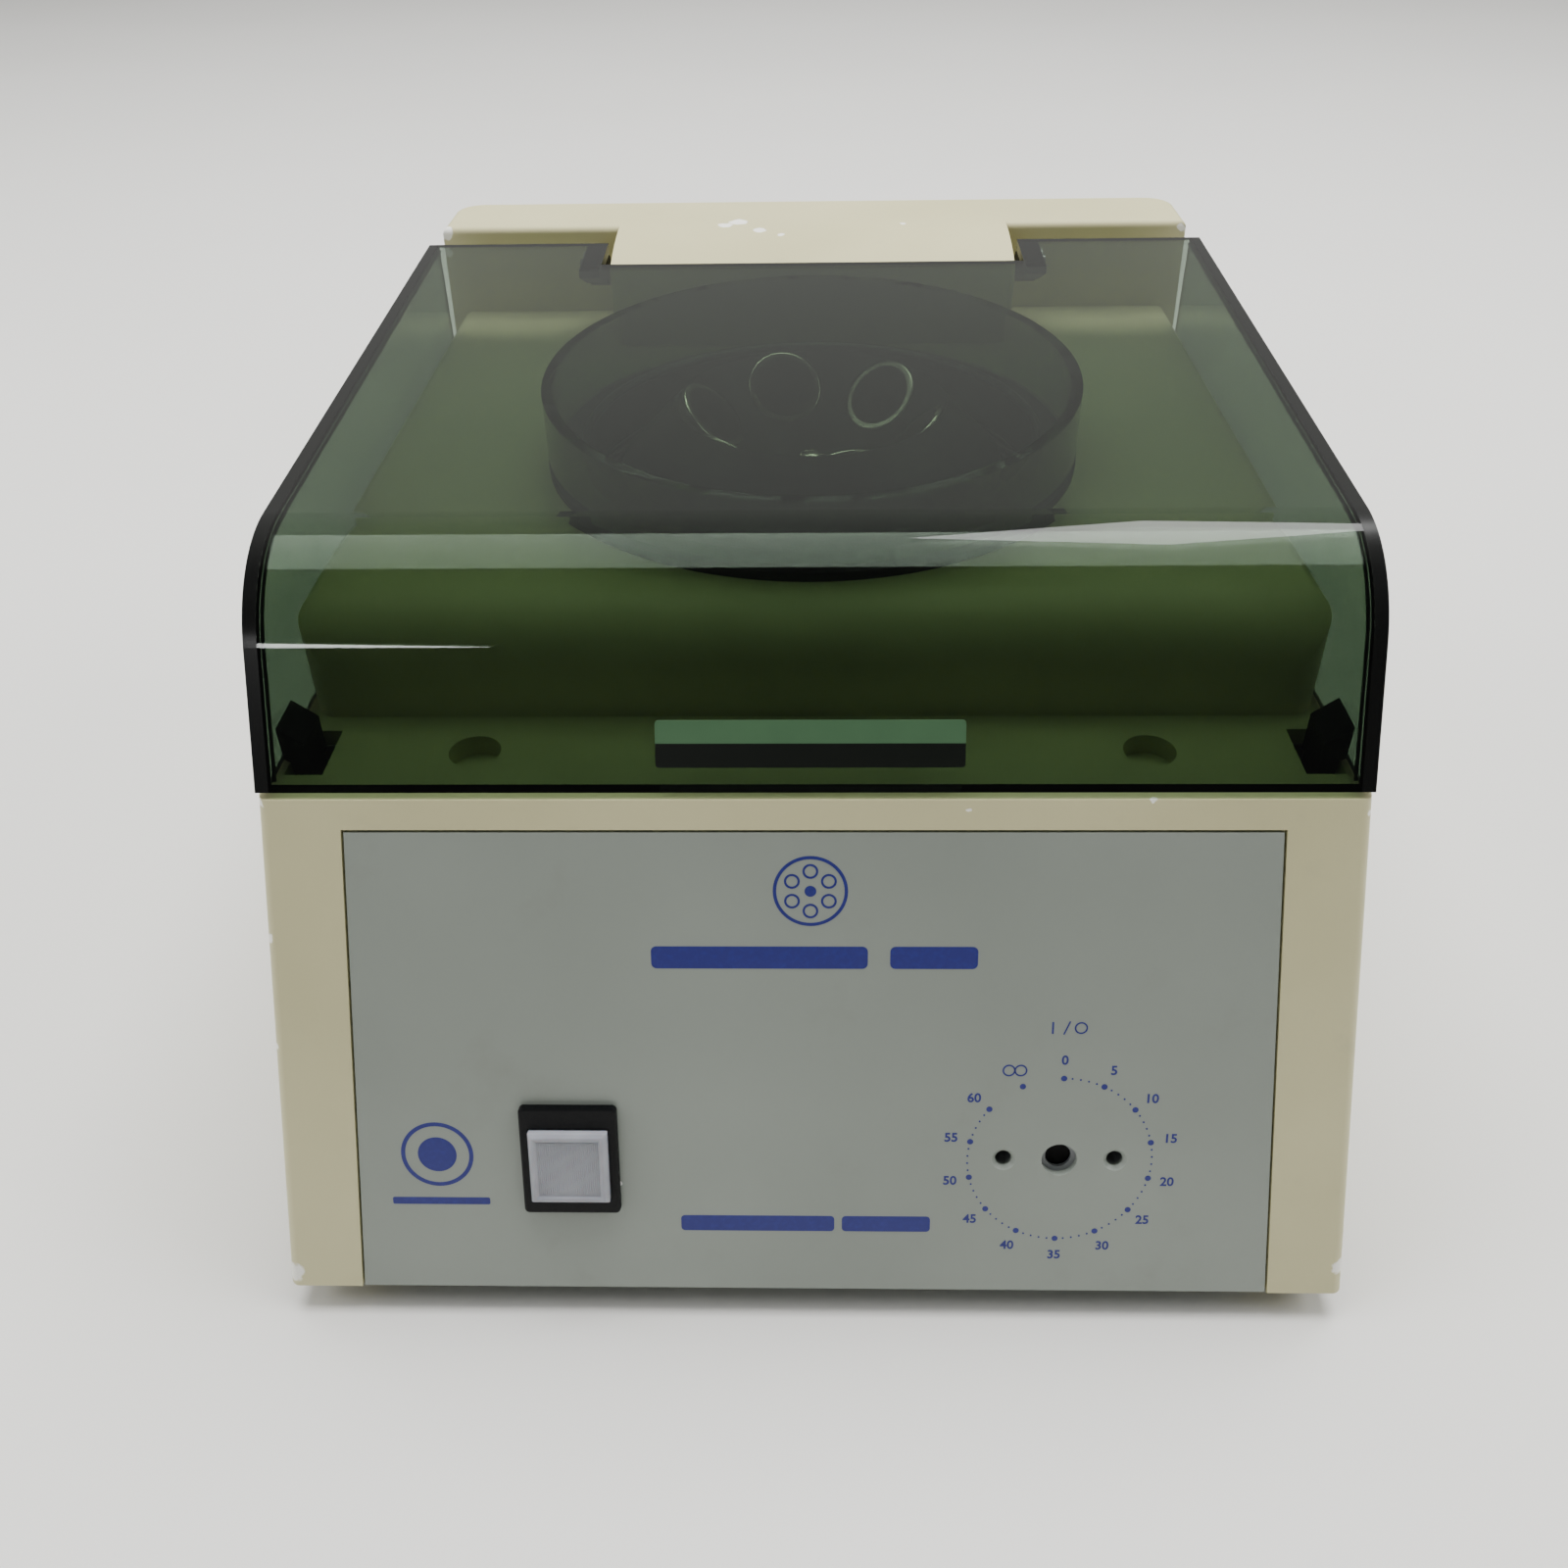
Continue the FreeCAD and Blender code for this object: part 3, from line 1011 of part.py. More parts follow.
def make_power_inlet():
    z = Z_INLET
    width, height, depth = (size / 2 for size in INLET_CAVITY)
    outside = Y_REAR + 2
    flange = box(INLET_X - INLET_WIDTH / 2, INLET_X + INLET_WIDTH / 2, Y_REAR, outside,
                 z - INLET_HEIGHT / 2, z + INLET_HEIGHT / 2)
    flange = round_edges(flange, 6.0, lambda e: is_along(e, Vector(0, 1, 0)))
    body = box(INLET_X - width - INLET_WALL, INLET_X + width + INLET_WALL, Y_REAR - INLET_BODY_DEPTH,
               Y_REAR + 0.1, z - height - INLET_WALL, z + height + INLET_WALL)
    cavity = box(INLET_X - width, INLET_X + width, outside - depth * 2, outside + 1, z - height, z + height)
    upper = [e for e in cavity.Edges if is_along(e, Vector(0, 1, 0)) and edge_middle(e).z > z]
    cuts = [cavity.makeChamfer(4.0, upper)]
    cuts += [cyl_y(INLET_SCREW_HOLE, Y_REAR - 1, outside + 1, x, z) for x in inlet_screw_places()]
    cuts += [inlet_pin(x, v) for x, v in PIN_PLACES]
    return flange.fuse(body).cut(cuts).removeSplitter()


def inlet_pin(x, v):
    """Blade contact from the tag behind the body to just inside the mouth."""
    half = PIN_SIZE / 2
    return box(INLET_X + x - half, INLET_X + x + half, Y_REAR - INLET_BODY_DEPTH - 6, Y_REAR - 3,
               Z_INLET + v - PIN_SIZE, Z_INLET + v + PIN_SIZE)


def make_inlet_pins():
    return Part.makeCompound([inlet_pin(x, v) for x, v in PIN_PLACES])


def make_inlet_screws():
    screws = []
    for x in inlet_screw_places():
        fastener = screw(2.8, 1.8, SMALL_SCREW_RADIUS, 9)
        fastener.rotate(Vector(0, 0, 0), Vector(1, 0, 0), 90)
        fastener.translate(Vector(x, Y_REAR + 2, Z_INLET))
        screws.append(fastener)
    return Part.makeCompound(screws)


def make_fuse_holder():
    z = Z_INLET
    body = cyl_y(FUSE_RADIUS, Y_REAR - FUSE_DEPTH, Y_REAR + 0.1, FUSE_X, z)
    flange = cyl_y(FUSE_RADIUS + 2, Y_REAR, Y_REAR + 2, FUSE_X, z)
    cap = cyl_y(FUSE_RADIUS - 0.5, Y_REAR + 1, Y_REAR + FUSE_PROUD, FUSE_X, z)
    slot = box(FUSE_X - 4, FUSE_X + 4, Y_REAR + FUSE_PROUD - 1.5, Y_REAR + FUSE_PROUD + 1, z - 0.6, z + 0.6)
    return body.fuse([flange, cap]).cut(slot).removeSplitter()


# ---- electrical parts on the base plate ---------------------------------------
def make_run_capacitor():
    x = CAPACITOR_X
    y = Y_ROTOR + CAPACITOR_SETBACK
    z = Z_PLATE_TOP + CAPACITOR_RADIUS
    can = cyl_y(CAPACITOR_RADIUS, y, y + CAPACITOR_LENGTH, x, z + CLAMP_SHEET)
    can = round_edges(can, 2.0, lambda e: len(e.Vertexes) == 1)
    tabs = [box(x + dx - 0.4, x + dx + 0.4, y - 8, y + 1, z - 2, z + 4) for dx in (-5, 5)]
    return can.fuse(tabs).removeSplitter()


def make_capacitor_clamp():
    x = CAPACITOR_X
    y = Y_ROTOR + CAPACITOR_SETBACK + CAPACITOR_LENGTH / 2
    z = Z_PLATE_TOP + CAPACITOR_RADIUS + CLAMP_SHEET
    half = CLAMP_WIDTH / 2
    band = cyl_y(CAPACITOR_RADIUS + CLAMP_SHEET, y - half, y + half, x, z)
    foot = box(x, x + CAPACITOR_RADIUS + 10, y - half, y + half, Z_PLATE_TOP, Z_PLATE_TOP + CLAMP_SHEET)
    bore = cyl_y(CAPACITOR_RADIUS + 0.02, y - half - 1, y + half + 1, x, z)
    return band.cut(bore).fuse(foot.cut(bore)).removeSplitter()


def make_terminal_block():
    y0, z0 = Y_ROTOR + BLOCK_SETBACK, Z_PLATE_TOP
    y1 = y0 + BLOCK_DEPTH
    base = box(BLOCK_X, BLOCK_X + BLOCK_LENGTH, y0, y1, z0, z0 + 8)
    ridge = box(BLOCK_X, BLOCK_X + BLOCK_LENGTH, y0 + 4, y1 - 4, z0 + 8, z0 + 15)
    pitch = BLOCK_LENGTH / BLOCK_WAYS
    wells = [cyl(2.2, z0 + 8, z0 + 16, BLOCK_X + pitch * (i + 0.5), (y0 + y1) / 2) for i in range(BLOCK_WAYS)]
    return base.fuse(ridge).cut(wells)


def make_parts():
    whole = whole_housing()
    parts = {
        "housing": housing_layer(whole, Z_RIM, Z_LEDGE),
        "housing_deck": housing_layer(whole, Z_LEDGE, Z_DECK),
        "housing_hump": housing_layer(whole, Z_DECK, Z_HUMP),
        "front_panel": make_front_panel(),
        "base_plate": make_base_plate(),
        "rubber_feet": make_rubber_feet(),
        "foot_screws": make_foot_screws(),
        "panel_screws": make_panel_screws(),
        "chamber_bowl": make_chamber_bowl(),
        "chamber_gasket": make_chamber_gasket(),
        "shaft_boot": make_shaft_boot(),
        "motor_bracket": make_motor_bracket(),
        "bracket_screws": make_bracket_screws(),
        "motor_isolators": make_motor_isolators(),
        "isolator_screws": make_isolator_screws(),
        "motor_upper_bell": make_motor_upper_bell(),
        "motor_lower_bell": make_motor_lower_bell(),
        "upper_bearing": make_bearing(Z_ISOLATOR),
        "lower_bearing": make_bearing(Z_STATOR - BELL_DEPTH - BEARING_WIDTH),
        "motor_stator": make_motor_stator(),
        "motor_windings": make_motor_windings(),
        "motor_rotor_core": make_motor_rotor_core(),
        "motor_shaft": make_motor_shaft(),
        "cooling_fan": make_cooling_fan(),
        "rotor_head": make_rotor_head(),
        "rotor_nut": make_rotor_nut(),
        "lid_sheet": make_lid_sheet(),
        "lid_side_left": make_lid_side(-1),
        "lid_side_right": make_lid_side(1),
        "guard_ring": make_guard_ring(),
        "lid_label": make_lid_label(),
        "hinge_lugs": make_hinge_lugs(),
        "hinge_rod": make_hinge_rod(),
        "rod_clips": make_rod_clips(),
        "latch_hook_left": make_latch_hook(-1),
        "latch_hook_right": make_latch_hook(1),
        "latch_strikers": make_latch_strikers(),
        "switch_frame": make_switch_frame(),
        "switch_cap": make_switch_cap(),
        "switch_spring": make_switch_spring(),
        "timer_body": make_timer_body(),
        "timer_shaft": make_timer_shaft(),
        "power_inlet": make_power_inlet(),
        "inlet_pins": make_inlet_pins(),
        "inlet_screws": make_inlet_screws(),
        "fuse_holder": make_fuse_holder(),
        "run_capacitor": make_run_capacitor(),
        "capacitor_clamp": make_capacitor_clamp(),
        "terminal_block": make_terminal_block(),
    }
    for i in range(TUBE_COUNT):
        parts["tube_shield_%d" % (i + 1)] = at_tube(make_tube_shield(), i)
    parts["tube_cushions"] = Part.makeCompound([at_tube(make_tube_cushion(), i) for i in range(TUBE_COUNT)])
    return parts


def main():
    os.makedirs("parts", exist_ok=True)
    for name, shape in make_parts().items():
        shape.exportStep("parts/%s.step" % name)


main()
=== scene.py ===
import json
import math
import bpy
from mathutils import Matrix, Vector


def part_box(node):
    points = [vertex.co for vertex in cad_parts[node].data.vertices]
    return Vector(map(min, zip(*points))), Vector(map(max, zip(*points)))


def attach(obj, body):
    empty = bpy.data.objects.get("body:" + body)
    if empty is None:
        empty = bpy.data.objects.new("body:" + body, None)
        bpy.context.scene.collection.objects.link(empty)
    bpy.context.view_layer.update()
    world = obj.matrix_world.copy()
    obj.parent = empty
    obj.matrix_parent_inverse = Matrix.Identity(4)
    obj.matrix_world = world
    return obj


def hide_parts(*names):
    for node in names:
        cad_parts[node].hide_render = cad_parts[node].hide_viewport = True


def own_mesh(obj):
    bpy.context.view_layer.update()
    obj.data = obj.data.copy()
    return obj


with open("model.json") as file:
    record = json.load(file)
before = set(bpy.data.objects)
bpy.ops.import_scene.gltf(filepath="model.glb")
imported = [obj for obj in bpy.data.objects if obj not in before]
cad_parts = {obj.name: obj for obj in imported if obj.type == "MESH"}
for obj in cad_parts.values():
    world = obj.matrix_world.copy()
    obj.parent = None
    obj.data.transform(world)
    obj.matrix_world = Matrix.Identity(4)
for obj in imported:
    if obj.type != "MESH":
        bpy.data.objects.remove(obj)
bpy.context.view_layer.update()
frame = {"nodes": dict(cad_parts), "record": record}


# ---- places read from the frame --------------------------------------------------------------
def mm(value):
    return value / 1000.0


def mount_place(name):
    found = [m for m in frame["record"]["mounts"] if m["name"] == name]
    return Vector(found[0]["pos_m"]), Vector(found[0]["axis"])


COUNTERSINK_DEPTH = mm(1.4)     # the timer's screw holes start this far below the panel's face
HOLES_CENTRE, PANEL_OUT = mount_place("timer_screw_holes")
DIAL_CENTRE = HOLES_CENTRE + PANEL_OUT * COUNTERSINK_DEPTH
PANEL_UP = PANEL_OUT.cross(Vector((1, 0, 0))).normalized()
PANEL_ORIGIN = Vector((0, DIAL_CENTRE.y, DIAL_CENTRE.z))
PANEL_AXES = Matrix((
    (1, 0, 0, PANEL_ORIGIN.x),
    (0, PANEL_UP.y, PANEL_OUT.y, PANEL_ORIGIN.y),
    (0, PANEL_UP.z, PANEL_OUT.z, PANEL_ORIGIN.z),
    (0, 0, 0, 1)))
DIAL_X = DIAL_CENTRE.x
LID_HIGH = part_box("lid_sheet")[1]
SIDE_LOW, SIDE_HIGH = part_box("lid_side_right")
HOUSING_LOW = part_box("housing")[0]
HOUSING_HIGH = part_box("housing_hump")[1]
LEDGE_Z = SIDE_LOW.z - mm(1.6)
LEDGE_Y = SIDE_LOW.y - mm(0.5)


# ---- modelling helpers -----------------------------------------------------------------------
def deselect_all():
    if bpy.context.object and bpy.context.object.mode != "OBJECT":
        bpy.ops.object.mode_set(mode="OBJECT")
    bpy.ops.object.select_all(action="DESELECT")


def edit(piece):
    bpy.context.view_layer.objects.active = piece
    bpy.ops.object.mode_set(mode="EDIT")
    bpy.ops.mesh.select_all(action="DESELECT")
    bpy.ops.mesh.select_mode(type="FACE")
    bpy.ops.object.mode_set(mode="OBJECT")


def pick_faces(piece, wanted):
    """Select the faces that wanted(face) accepts and stay in edit mode."""
    edit(piece)
    for face in piece.data.polygons:
        face.select = wanted(face)
    bpy.ops.object.mode_set(mode="EDIT")


def apply_modifiers(piece):
    bpy.context.view_layer.objects.active = piece
    for modifier in list(piece.modifiers):
        bpy.ops.object.modifier_apply(modifier=modifier.name)


def bevel(piece, width, segments=2):
    modifier = piece.modifiers.new("Bevel", "BEVEL")
    modifier.width = width
    modifier.segments = segments
    modifier.limit_method = "ANGLE"
    apply_modifiers(piece)


def join(pieces):
    deselect_all()
    for piece in pieces:
        piece.select_set(True)
    bpy.context.view_layer.objects.active = pieces[0]
    if len(pieces) > 1:
        bpy.ops.object.join()
    return pieces[0]


def copy_to(piece, move):
    """A copy of a piece with its own mesh, moved by a matrix."""
    twin = piece.copy()
    twin.data = piece.data.copy()
    bpy.context.scene.collection.objects.link(twin)
    twin.matrix_world = move @ piece.matrix_world
    return twin


def settle(piece, move=None):
    """Put a piece's place into its mesh, so that its object sits at the origin."""
    deselect_all()
    piece.select_set(True)
    bpy.context.view_layer.objects.active = piece
    if move is not None:
        piece.matrix_world = move @ piece.matrix_world
    bpy.ops.object.transform_apply(location=True, rotation=True, scale=True)
    return piece


def hand_over(piece, name, body, material):
    piece.name = name
    piece.data.name = name
    piece.data.materials.clear()
    piece.data.materials.append(material)
    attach(piece, body)
    return piece


# ---- material helpers ------------------------------------------------------------------------
def colour(code):
    """Linear RGBA of an sRGB hex colour."""
    parts = [int(code[i:i + 2], 16) / 255.0 for i in (1, 3, 5)]
    linear = [p / 12.92 if p <= 0.04045 else ((p + 0.055) / 1.055) ** 2.4 for p in parts]
    return (*linear, 1.0)


def add(tree, kind, settings=None, inputs=None):
    """Add a node, set what it is set to, and give its inputs values or links."""
    node = tree.nodes.new(kind)
    for name, value in (settings or {}).items():
        setattr(node, name, value)
    for name, value in (inputs or {}).items():
        if isinstance(value, bpy.types.NodeSocket):
            tree.links.new(value, node.inputs[name])
        else:
            node.inputs[name].default_value = value
    return node


def begin_material(name, roughness, metallic=0.0, ior=None):
    material = bpy.data.materials.new(name)
    material.use_nodes = True
    tree = material.node_tree
    shader = tree.nodes["Principled BSDF"]
    shader.inputs["Roughness"].default_value = roughness
    shader.inputs["Metallic"].default_value = metallic
    if ior:
        shader.inputs["IOR"].default_value = ior
    place = add(tree, "ShaderNodeTexCoord").outputs["Object"]
    return material, tree, shader, place


def per_metre(size_mm):
    """Texture scale that gives a pattern of that size in millimetres."""
    return 1000.0 / size_mm


def band(tree, value, low, high, to_low=0.0, to_high=1.0):
    return add(tree, "ShaderNodeMapRange", {"clamp": True}, {
        "Value": value, "From Min": low, "From Max": high,
        "To Min": to_low, "To Max": to_high}).outputs["Result"]


def blend_colours(tree, factor, first, second):
    mix = add(tree, "ShaderNodeMix", {"data_type": "RGBA"}, {"Factor": factor})
    for index, value in ((6, first), (7, second)):
        if isinstance(value, bpy.types.NodeSocket):
            tree.links.new(value, mix.inputs[index])
        else:
            mix.inputs[index].default_value = value
    return mix.outputs[2]


def tint(tree, shader, factor, first, second):
    """Tie the shader's colour to a mix of two hex colours."""
    tree.links.new(blend_colours(tree, factor, colour(first), colour(second)), shader.inputs["Base Color"])


def noise(tree, place, size_mm, detail=3.0, rough=0.5):
    return add(tree, "ShaderNodeTexNoise", None, {
        "Vector": place, "Scale": per_metre(size_mm), "Detail": detail,
        "Roughness": rough}).outputs["Fac"]


def relief(tree, shader, height, depth_mm, strength=1.0, normal=None):
    inputs = {"Height": height, "Distance": mm(depth_mm), "Strength": strength}
    if normal is not None:
        inputs["Normal"] = normal
    out = add(tree, "ShaderNodeBump", None, inputs).outputs["Normal"]
    tree.links.new(out, shader.inputs["Normal"])


def wear_spots(tree, place, spots, ragged_mm):
    """1 inside ragged spots, each given as (x, y, z, reach) in metres, 0 elsewhere."""
    shift = add(tree, "ShaderNodeTexNoise", None, {
        "Vector": place, "Scale": per_metre(ragged_mm), "Detail": 4.0}).outputs["Color"]
    moved = add(tree, "ShaderNodeVectorMath", {"operation": "MULTIPLY_ADD"}, {
        0: shift, 1: (mm(ragged_mm),) * 3, 2: place}).outputs["Vector"]
    total = None
    for x, y, z, reach in spots:
        centre = (x + mm(ragged_mm) / 2, y + mm(ragged_mm) / 2, z + mm(ragged_mm) / 2)
        away = add(tree, "ShaderNodeVectorMath", {"operation": "DISTANCE"}, {
            0: moved, 1: centre}).outputs["Value"]
        inside = band(tree, away, reach, reach * 0.8)
        if total is None:
            total = inside
        else:
            total = add(tree, "ShaderNodeMath", {"operation": "MAXIMUM"}, {
                0: total, 1: inside}).outputs["Value"]
    return total


# ---- materials -------------------------------------------------------------------------------
def make_moulded_housing_paint():
    """Two-pack paint on moulded structural foam: a matt beige skin with a fine orange peel, white
    where a knock has broken through to the foam, and a little grime."""
    material, tree, shader, place = begin_material("Painted structural foam", 0.46, ior=1.5)
    wash = noise(tree, place, 60.0, 4.0)
    base = blend_colours(tree, band(tree, wash, 0.35, 0.68), colour("#C9C49A"), colour("#C1BC92"))
    dirt = noise(tree, place, 14.0, 6.0, 0.65)
    base = blend_colours(tree, band(tree, dirt, 0.60, 0.80, 0.0, 0.22), base, colour("#A39F86"))
    top = HOUSING_HIGH.z
    rear = HOUSING_HIGH.y
    front = HOUSING_LOW.y
    spots = [
        (mm(-24), rear - mm(25), top, mm(3.2)), (mm(-28), rear - mm(28.6), top, mm(2.6)),
        (mm(29), rear - mm(28.8), top - mm(1), mm(1.6)), (mm(-17), rear - mm(34), top - mm(0.5), mm(2.2)),
        (mm(-10), rear - mm(38), top - mm(1), mm(1.6)),
        (mm(-119), rear - mm(28.5), top - mm(1), mm(3.0)), (mm(-119.5), rear - mm(29), top - mm(9), mm(2.2)),
        (mm(118), rear - mm(29), top - mm(2), mm(1.7)),
        (mm(-126), front + mm(3), HOUSING_LOW.z + mm(3), mm(3.0)),
        (mm(126.5), front + mm(3), HOUSING_LOW.z + mm(7), mm(2.4)),
        (mm(-120.5), LEDGE_Y, LEDGE_Z - mm(1), mm(1.4)),
        (mm(-122.6), LEDGE_Y - mm(11), LEDGE_Z - mm(31), mm(1.9)),
        (mm(-124.4), LEDGE_Y - mm(20), LEDGE_Z - mm(57), mm(1.5)), (mm(74), LEDGE_Y, LEDGE_Z, mm(0.9)),
        (mm(121), LEDGE_Y - mm(1), LEDGE_Z - mm(3), mm(1.3)),
        (mm(34), LEDGE_Y - mm(1), LEDGE_Z - mm(2), mm(0.7))]
    bare = wear_spots(tree, place, spots, 3.0)
    final = blend_colours(tree, bare, base, colour("#F4F3EA"))
    tree.links.new(final, shader.inputs["Base Color"])
    peel = noise(tree, place, 1.3, 2.0)
    height = add(tree, "ShaderNodeMath", {"operation": "MULTIPLY_ADD"}, {
        0: bare, 1: -6.0, 2: peel}).outputs["Value"]
    relief(tree, shader, height, 0.05, 0.55)
    return material


def make_panel_paint():
    """Baked enamel on folded sheet steel: smooth satin grey with faint finger smudges."""
    material, tree, shader, place = begin_material("Baked enamel on steel", 0.38, ior=1.5)
    wash = noise(tree, place, 90.0, 2.0)
    base = blend_colours(tree, band(tree, wash, 0.35, 0.70), colour("#8C938B"), colour("#848B83"))
    smudge = noise(tree, place, 24.0, 5.0, 0.6)
    mark = band(tree, smudge, 0.60, 0.80, 0.0, 0.30)
    base = blend_colours(tree, mark, base, colour("#77796F"))
    chips = [(mm(-45.4), DIAL_CENTRE.y - mm(2.6), DIAL_CENTRE.z - mm(6.6), mm(0.75))]
    bare = wear_spots(tree, place, chips, 0.8)
    tree.links.new(blend_colours(tree, bare, base, colour("#F0EFEA")), shader.inputs["Base Color"])
    tree.links.new(band(tree, smudge, 0.35, 0.75, 0.34, 0.50), shader.inputs["Roughness"])
    relief(tree, shader, noise(tree, place, 1.0, 2.0), 0.02, 0.35)
    return material


ACRYLIC_TINT = "#7C8B7C"


def make_tinted_acrylic():
    """Cast acrylic sheet dyed smoky green: clear and glossy with hairline scratches; the saw-cut and
    cemented edges look black because the dye is seen through the sheet's whole width."""
    material, tree, shader, place = begin_material("Tinted cast acrylic", 0.015, ior=1.49)
    shader.inputs["Transmission Weight"].default_value = 1.0
    shader.inputs["Base Color"].default_value = colour(ACRYLIC_TINT)
    stretch = add(tree, "ShaderNodeMapping", {"vector_type": "POINT"}, {
        "Vector": place, "Rotation": (0.2, 0.1, 0.7), "Scale": (1.0, 14.0, 6.0)}).outputs["Vector"]
    hair = noise(tree, stretch, 22.0, 5.0, 0.7)
    haze = noise(tree, place, 40.0, 4.0)
    scratch = band(tree, hair, 0.715, 0.74)
    relief(tree, shader, scratch, 0.02, 0.25)
    tree.links.new(band(tree, haze, 0.45, 0.8, 0.012, 0.035), shader.inputs["Roughness"])
    edge = begin_edge_shader(tree)
    lamp = add(tree, "ShaderNodeBsdfTransparent", None, {"Color": colour(ACRYLIC_TINT)}).outputs["BSDF"]
    rays = add(tree, "ShaderNodeLightPath").outputs["Is Shadow Ray"]
    clear = add(tree, "ShaderNodeMixShader", None, {
        0: rays, 1: shader.outputs["BSDF"], 2: lamp}).outputs["Shader"]
    return material, tree, clear, edge


def begin_edge_shader(tree):
    edge = tree.nodes.new("ShaderNodeBsdfPrincipled")
    edge.inputs["Base Color"].default_value = colour("#0A0B0A")
    edge.inputs["Roughness"].default_value = 0.22
    return edge.outputs["BSDF"]


def finish_acrylic(parts, mask):
    """Show the dark edge where mask is 1 and the clear sheet elsewhere."""
    material, tree, clear, edge = parts
    mix = add(tree, "ShaderNodeMixShader", None, {0: mask, 1: clear, 2: edge}).outputs["Shader"]
    tree.links.new(mix, tree.nodes["Material Output"].inputs["Surface"])
    return material


def make_lid_front_acrylic():
    """The bent sheet: its rearward-facing faces within 25 mm of the back, the rear edge and the notch, show
    the dye's full depth.
    """
    parts = make_tinted_acrylic()
    tree = parts[1]
    normal = add(tree, "ShaderNodeSeparateXYZ", None, {
        "Vector": add(tree, "ShaderNodeNewGeometry").outputs["True Normal"]})
    place = add(tree, "ShaderNodeSeparateXYZ", None, {
        "Vector": add(tree, "ShaderNodeTexCoord").outputs["Object"]})
    rear = band(tree, normal.outputs["Y"], 0.96, 0.98)
    deep = band(tree, place.outputs["Y"], LID_HIGH.y - mm(25), LID_HIGH.y - mm(24))
    mask = add(tree, "ShaderNodeMath", {"operation": "MULTIPLY"}, {0: rear, 1: deep}).outputs["Value"]
    return finish_acrylic(parts, mask)


def make_lid_side_acrylic():
    """The flat side panels: every edge that isn't a broad face is dark."""
    parts = make_tinted_acrylic()
    tree = parts[1]
    normal = add(tree, "ShaderNodeSeparateXYZ", None, {
        "Vector": add(tree, "ShaderNodeNewGeometry").outputs["True Normal"]})
    across = add(tree, "ShaderNodeMath", {"operation": "ABSOLUTE"}, {0: normal.outputs["X"]}).outputs["Value"]
    return finish_acrylic(parts, band(tree, across, 0.6, 0.5))


def make_guard_ring_acrylic():
    """Turned acrylic tube: the cut lower end is dark, the wall clear."""
    parts = make_tinted_acrylic()
    tree = parts[1]
    normal = add(tree, "ShaderNodeSeparateXYZ", None, {
        "Vector": add(tree, "ShaderNodeNewGeometry").outputs["True Normal"]})
    return finish_acrylic(parts, band(tree, normal.outputs["Z"], -0.6, -0.7))


def make_shade_darkened_bowl():
    """Spun steel bowl coloured blue-black as painted shade for the dim chamber under the lid: the spinning
    rings show faintly.
    """
    material, tree, shader, place = begin_material("Spun steel bowl darkened as painted shade", 0.34, ior=1.5)
    hub = (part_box("chamber_bowl")[0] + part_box("chamber_bowl")[1]) / 2
    centred = add(tree, "ShaderNodeMapping", {"vector_type": "POINT"}, {
        "Vector": place, "Location": (-hub.x, -hub.y, 0)}).outputs["Vector"]
    rings = add(tree, "ShaderNodeTexWave", {"wave_type": "RINGS", "rings_direction": "Z"}, {
        "Vector": centred, "Scale": per_metre(24.0), "Distortion": 0.6, "Detail": 2.0}).outputs["Fac"]
    # painted shade: the bowl's near-black colour stands in for the shade inside the chamber
    shader.inputs["Base Color"].default_value = colour("#0D1517")
    tree.links.new(band(tree, rings, 0.0, 1.0, 0.28, 0.42), shader.inputs["Roughness"])
    relief(tree, shader, rings, 0.02, 0.25)
    return material


def make_drawn_stainless():
    """Deep-drawn stainless shields, dulled to a satin by washing: bright at the rolled rims."""
    material, tree, shader, place = begin_material("Satin drawn stainless", 0.25, 0.45)
    shader.inputs["Base Color"].default_value = colour("#E2E4E3")
    marks = noise(tree, place, 6.0, 5.0, 0.7)
    tree.links.new(band(tree, marks, 0.3, 0.75, 0.20, 0.34), shader.inputs["Roughness"])
    return material


def make_anodised_head():
    """Turned and drilled aluminium, black anodised: dull black with a faint turning grain."""
    material, tree, shader, place = begin_material("Black anodised aluminium", 0.42, 0.85)
    hub = (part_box("rotor_head")[0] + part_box("rotor_head")[1]) / 2
    centred = add(tree, "ShaderNodeMapping", {"vector_type": "POINT"}, {
        "Vector": place, "Location": (-hub.x, -hub.y, 0)}).outputs["Vector"]
    rings = add(tree, "ShaderNodeTexWave", {"wave_type": "RINGS", "rings_direction": "Z"}, {
        "Vector": centred, "Scale": per_metre(9.0), "Detail": 1.0}).outputs["Fac"]
    tone = blend_colours(tree, rings, colour("#1B1C1D"), colour("#242526"))
    tree.links.new(tone, shader.inputs["Base Color"])
    relief(tree, shader, rings, 0.01, 0.2)
    return material


def make_metal(name, code, roughness, grain_mm, spread=0.1):
    """A plain metal whose roughness varies over a grain of the given size."""
    material, tree, shader, place = begin_material(name, roughness, 1.0)
    shader.inputs["Base Color"].default_value = colour(code)
    grain = noise(tree, place, grain_mm, 4.0, 0.6)
    low, high = max(0.04, roughness - spread), roughness + spread
    tree.links.new(band(tree, grain, 0.3, 0.7, low, high), shader.inputs["Roughness"])
    relief(tree, shader, grain, 0.01, 0.2)
    return material


def make_zinc_steel():
    """Zinc-plated sheet steel: pale grey with a faint crystalline spangle."""
    material, tree, shader, place = begin_material("Zinc plated sheet steel", 0.34, 1.0)
    cells = add(tree, "ShaderNodeTexVoronoi", None, {
        "Vector": place, "Scale": per_metre(5.0)}).outputs["Color"]
    shade = add(tree, "ShaderNodeRGBToBW", None, {"Color": cells}).outputs["Val"]
    tint(tree, shader, shade, "#A9ADAF", "#BFC2C3")
    tree.links.new(band(tree, shade, 0.0, 1.0, 0.28, 0.42), shader.inputs["Roughness"])
    return material


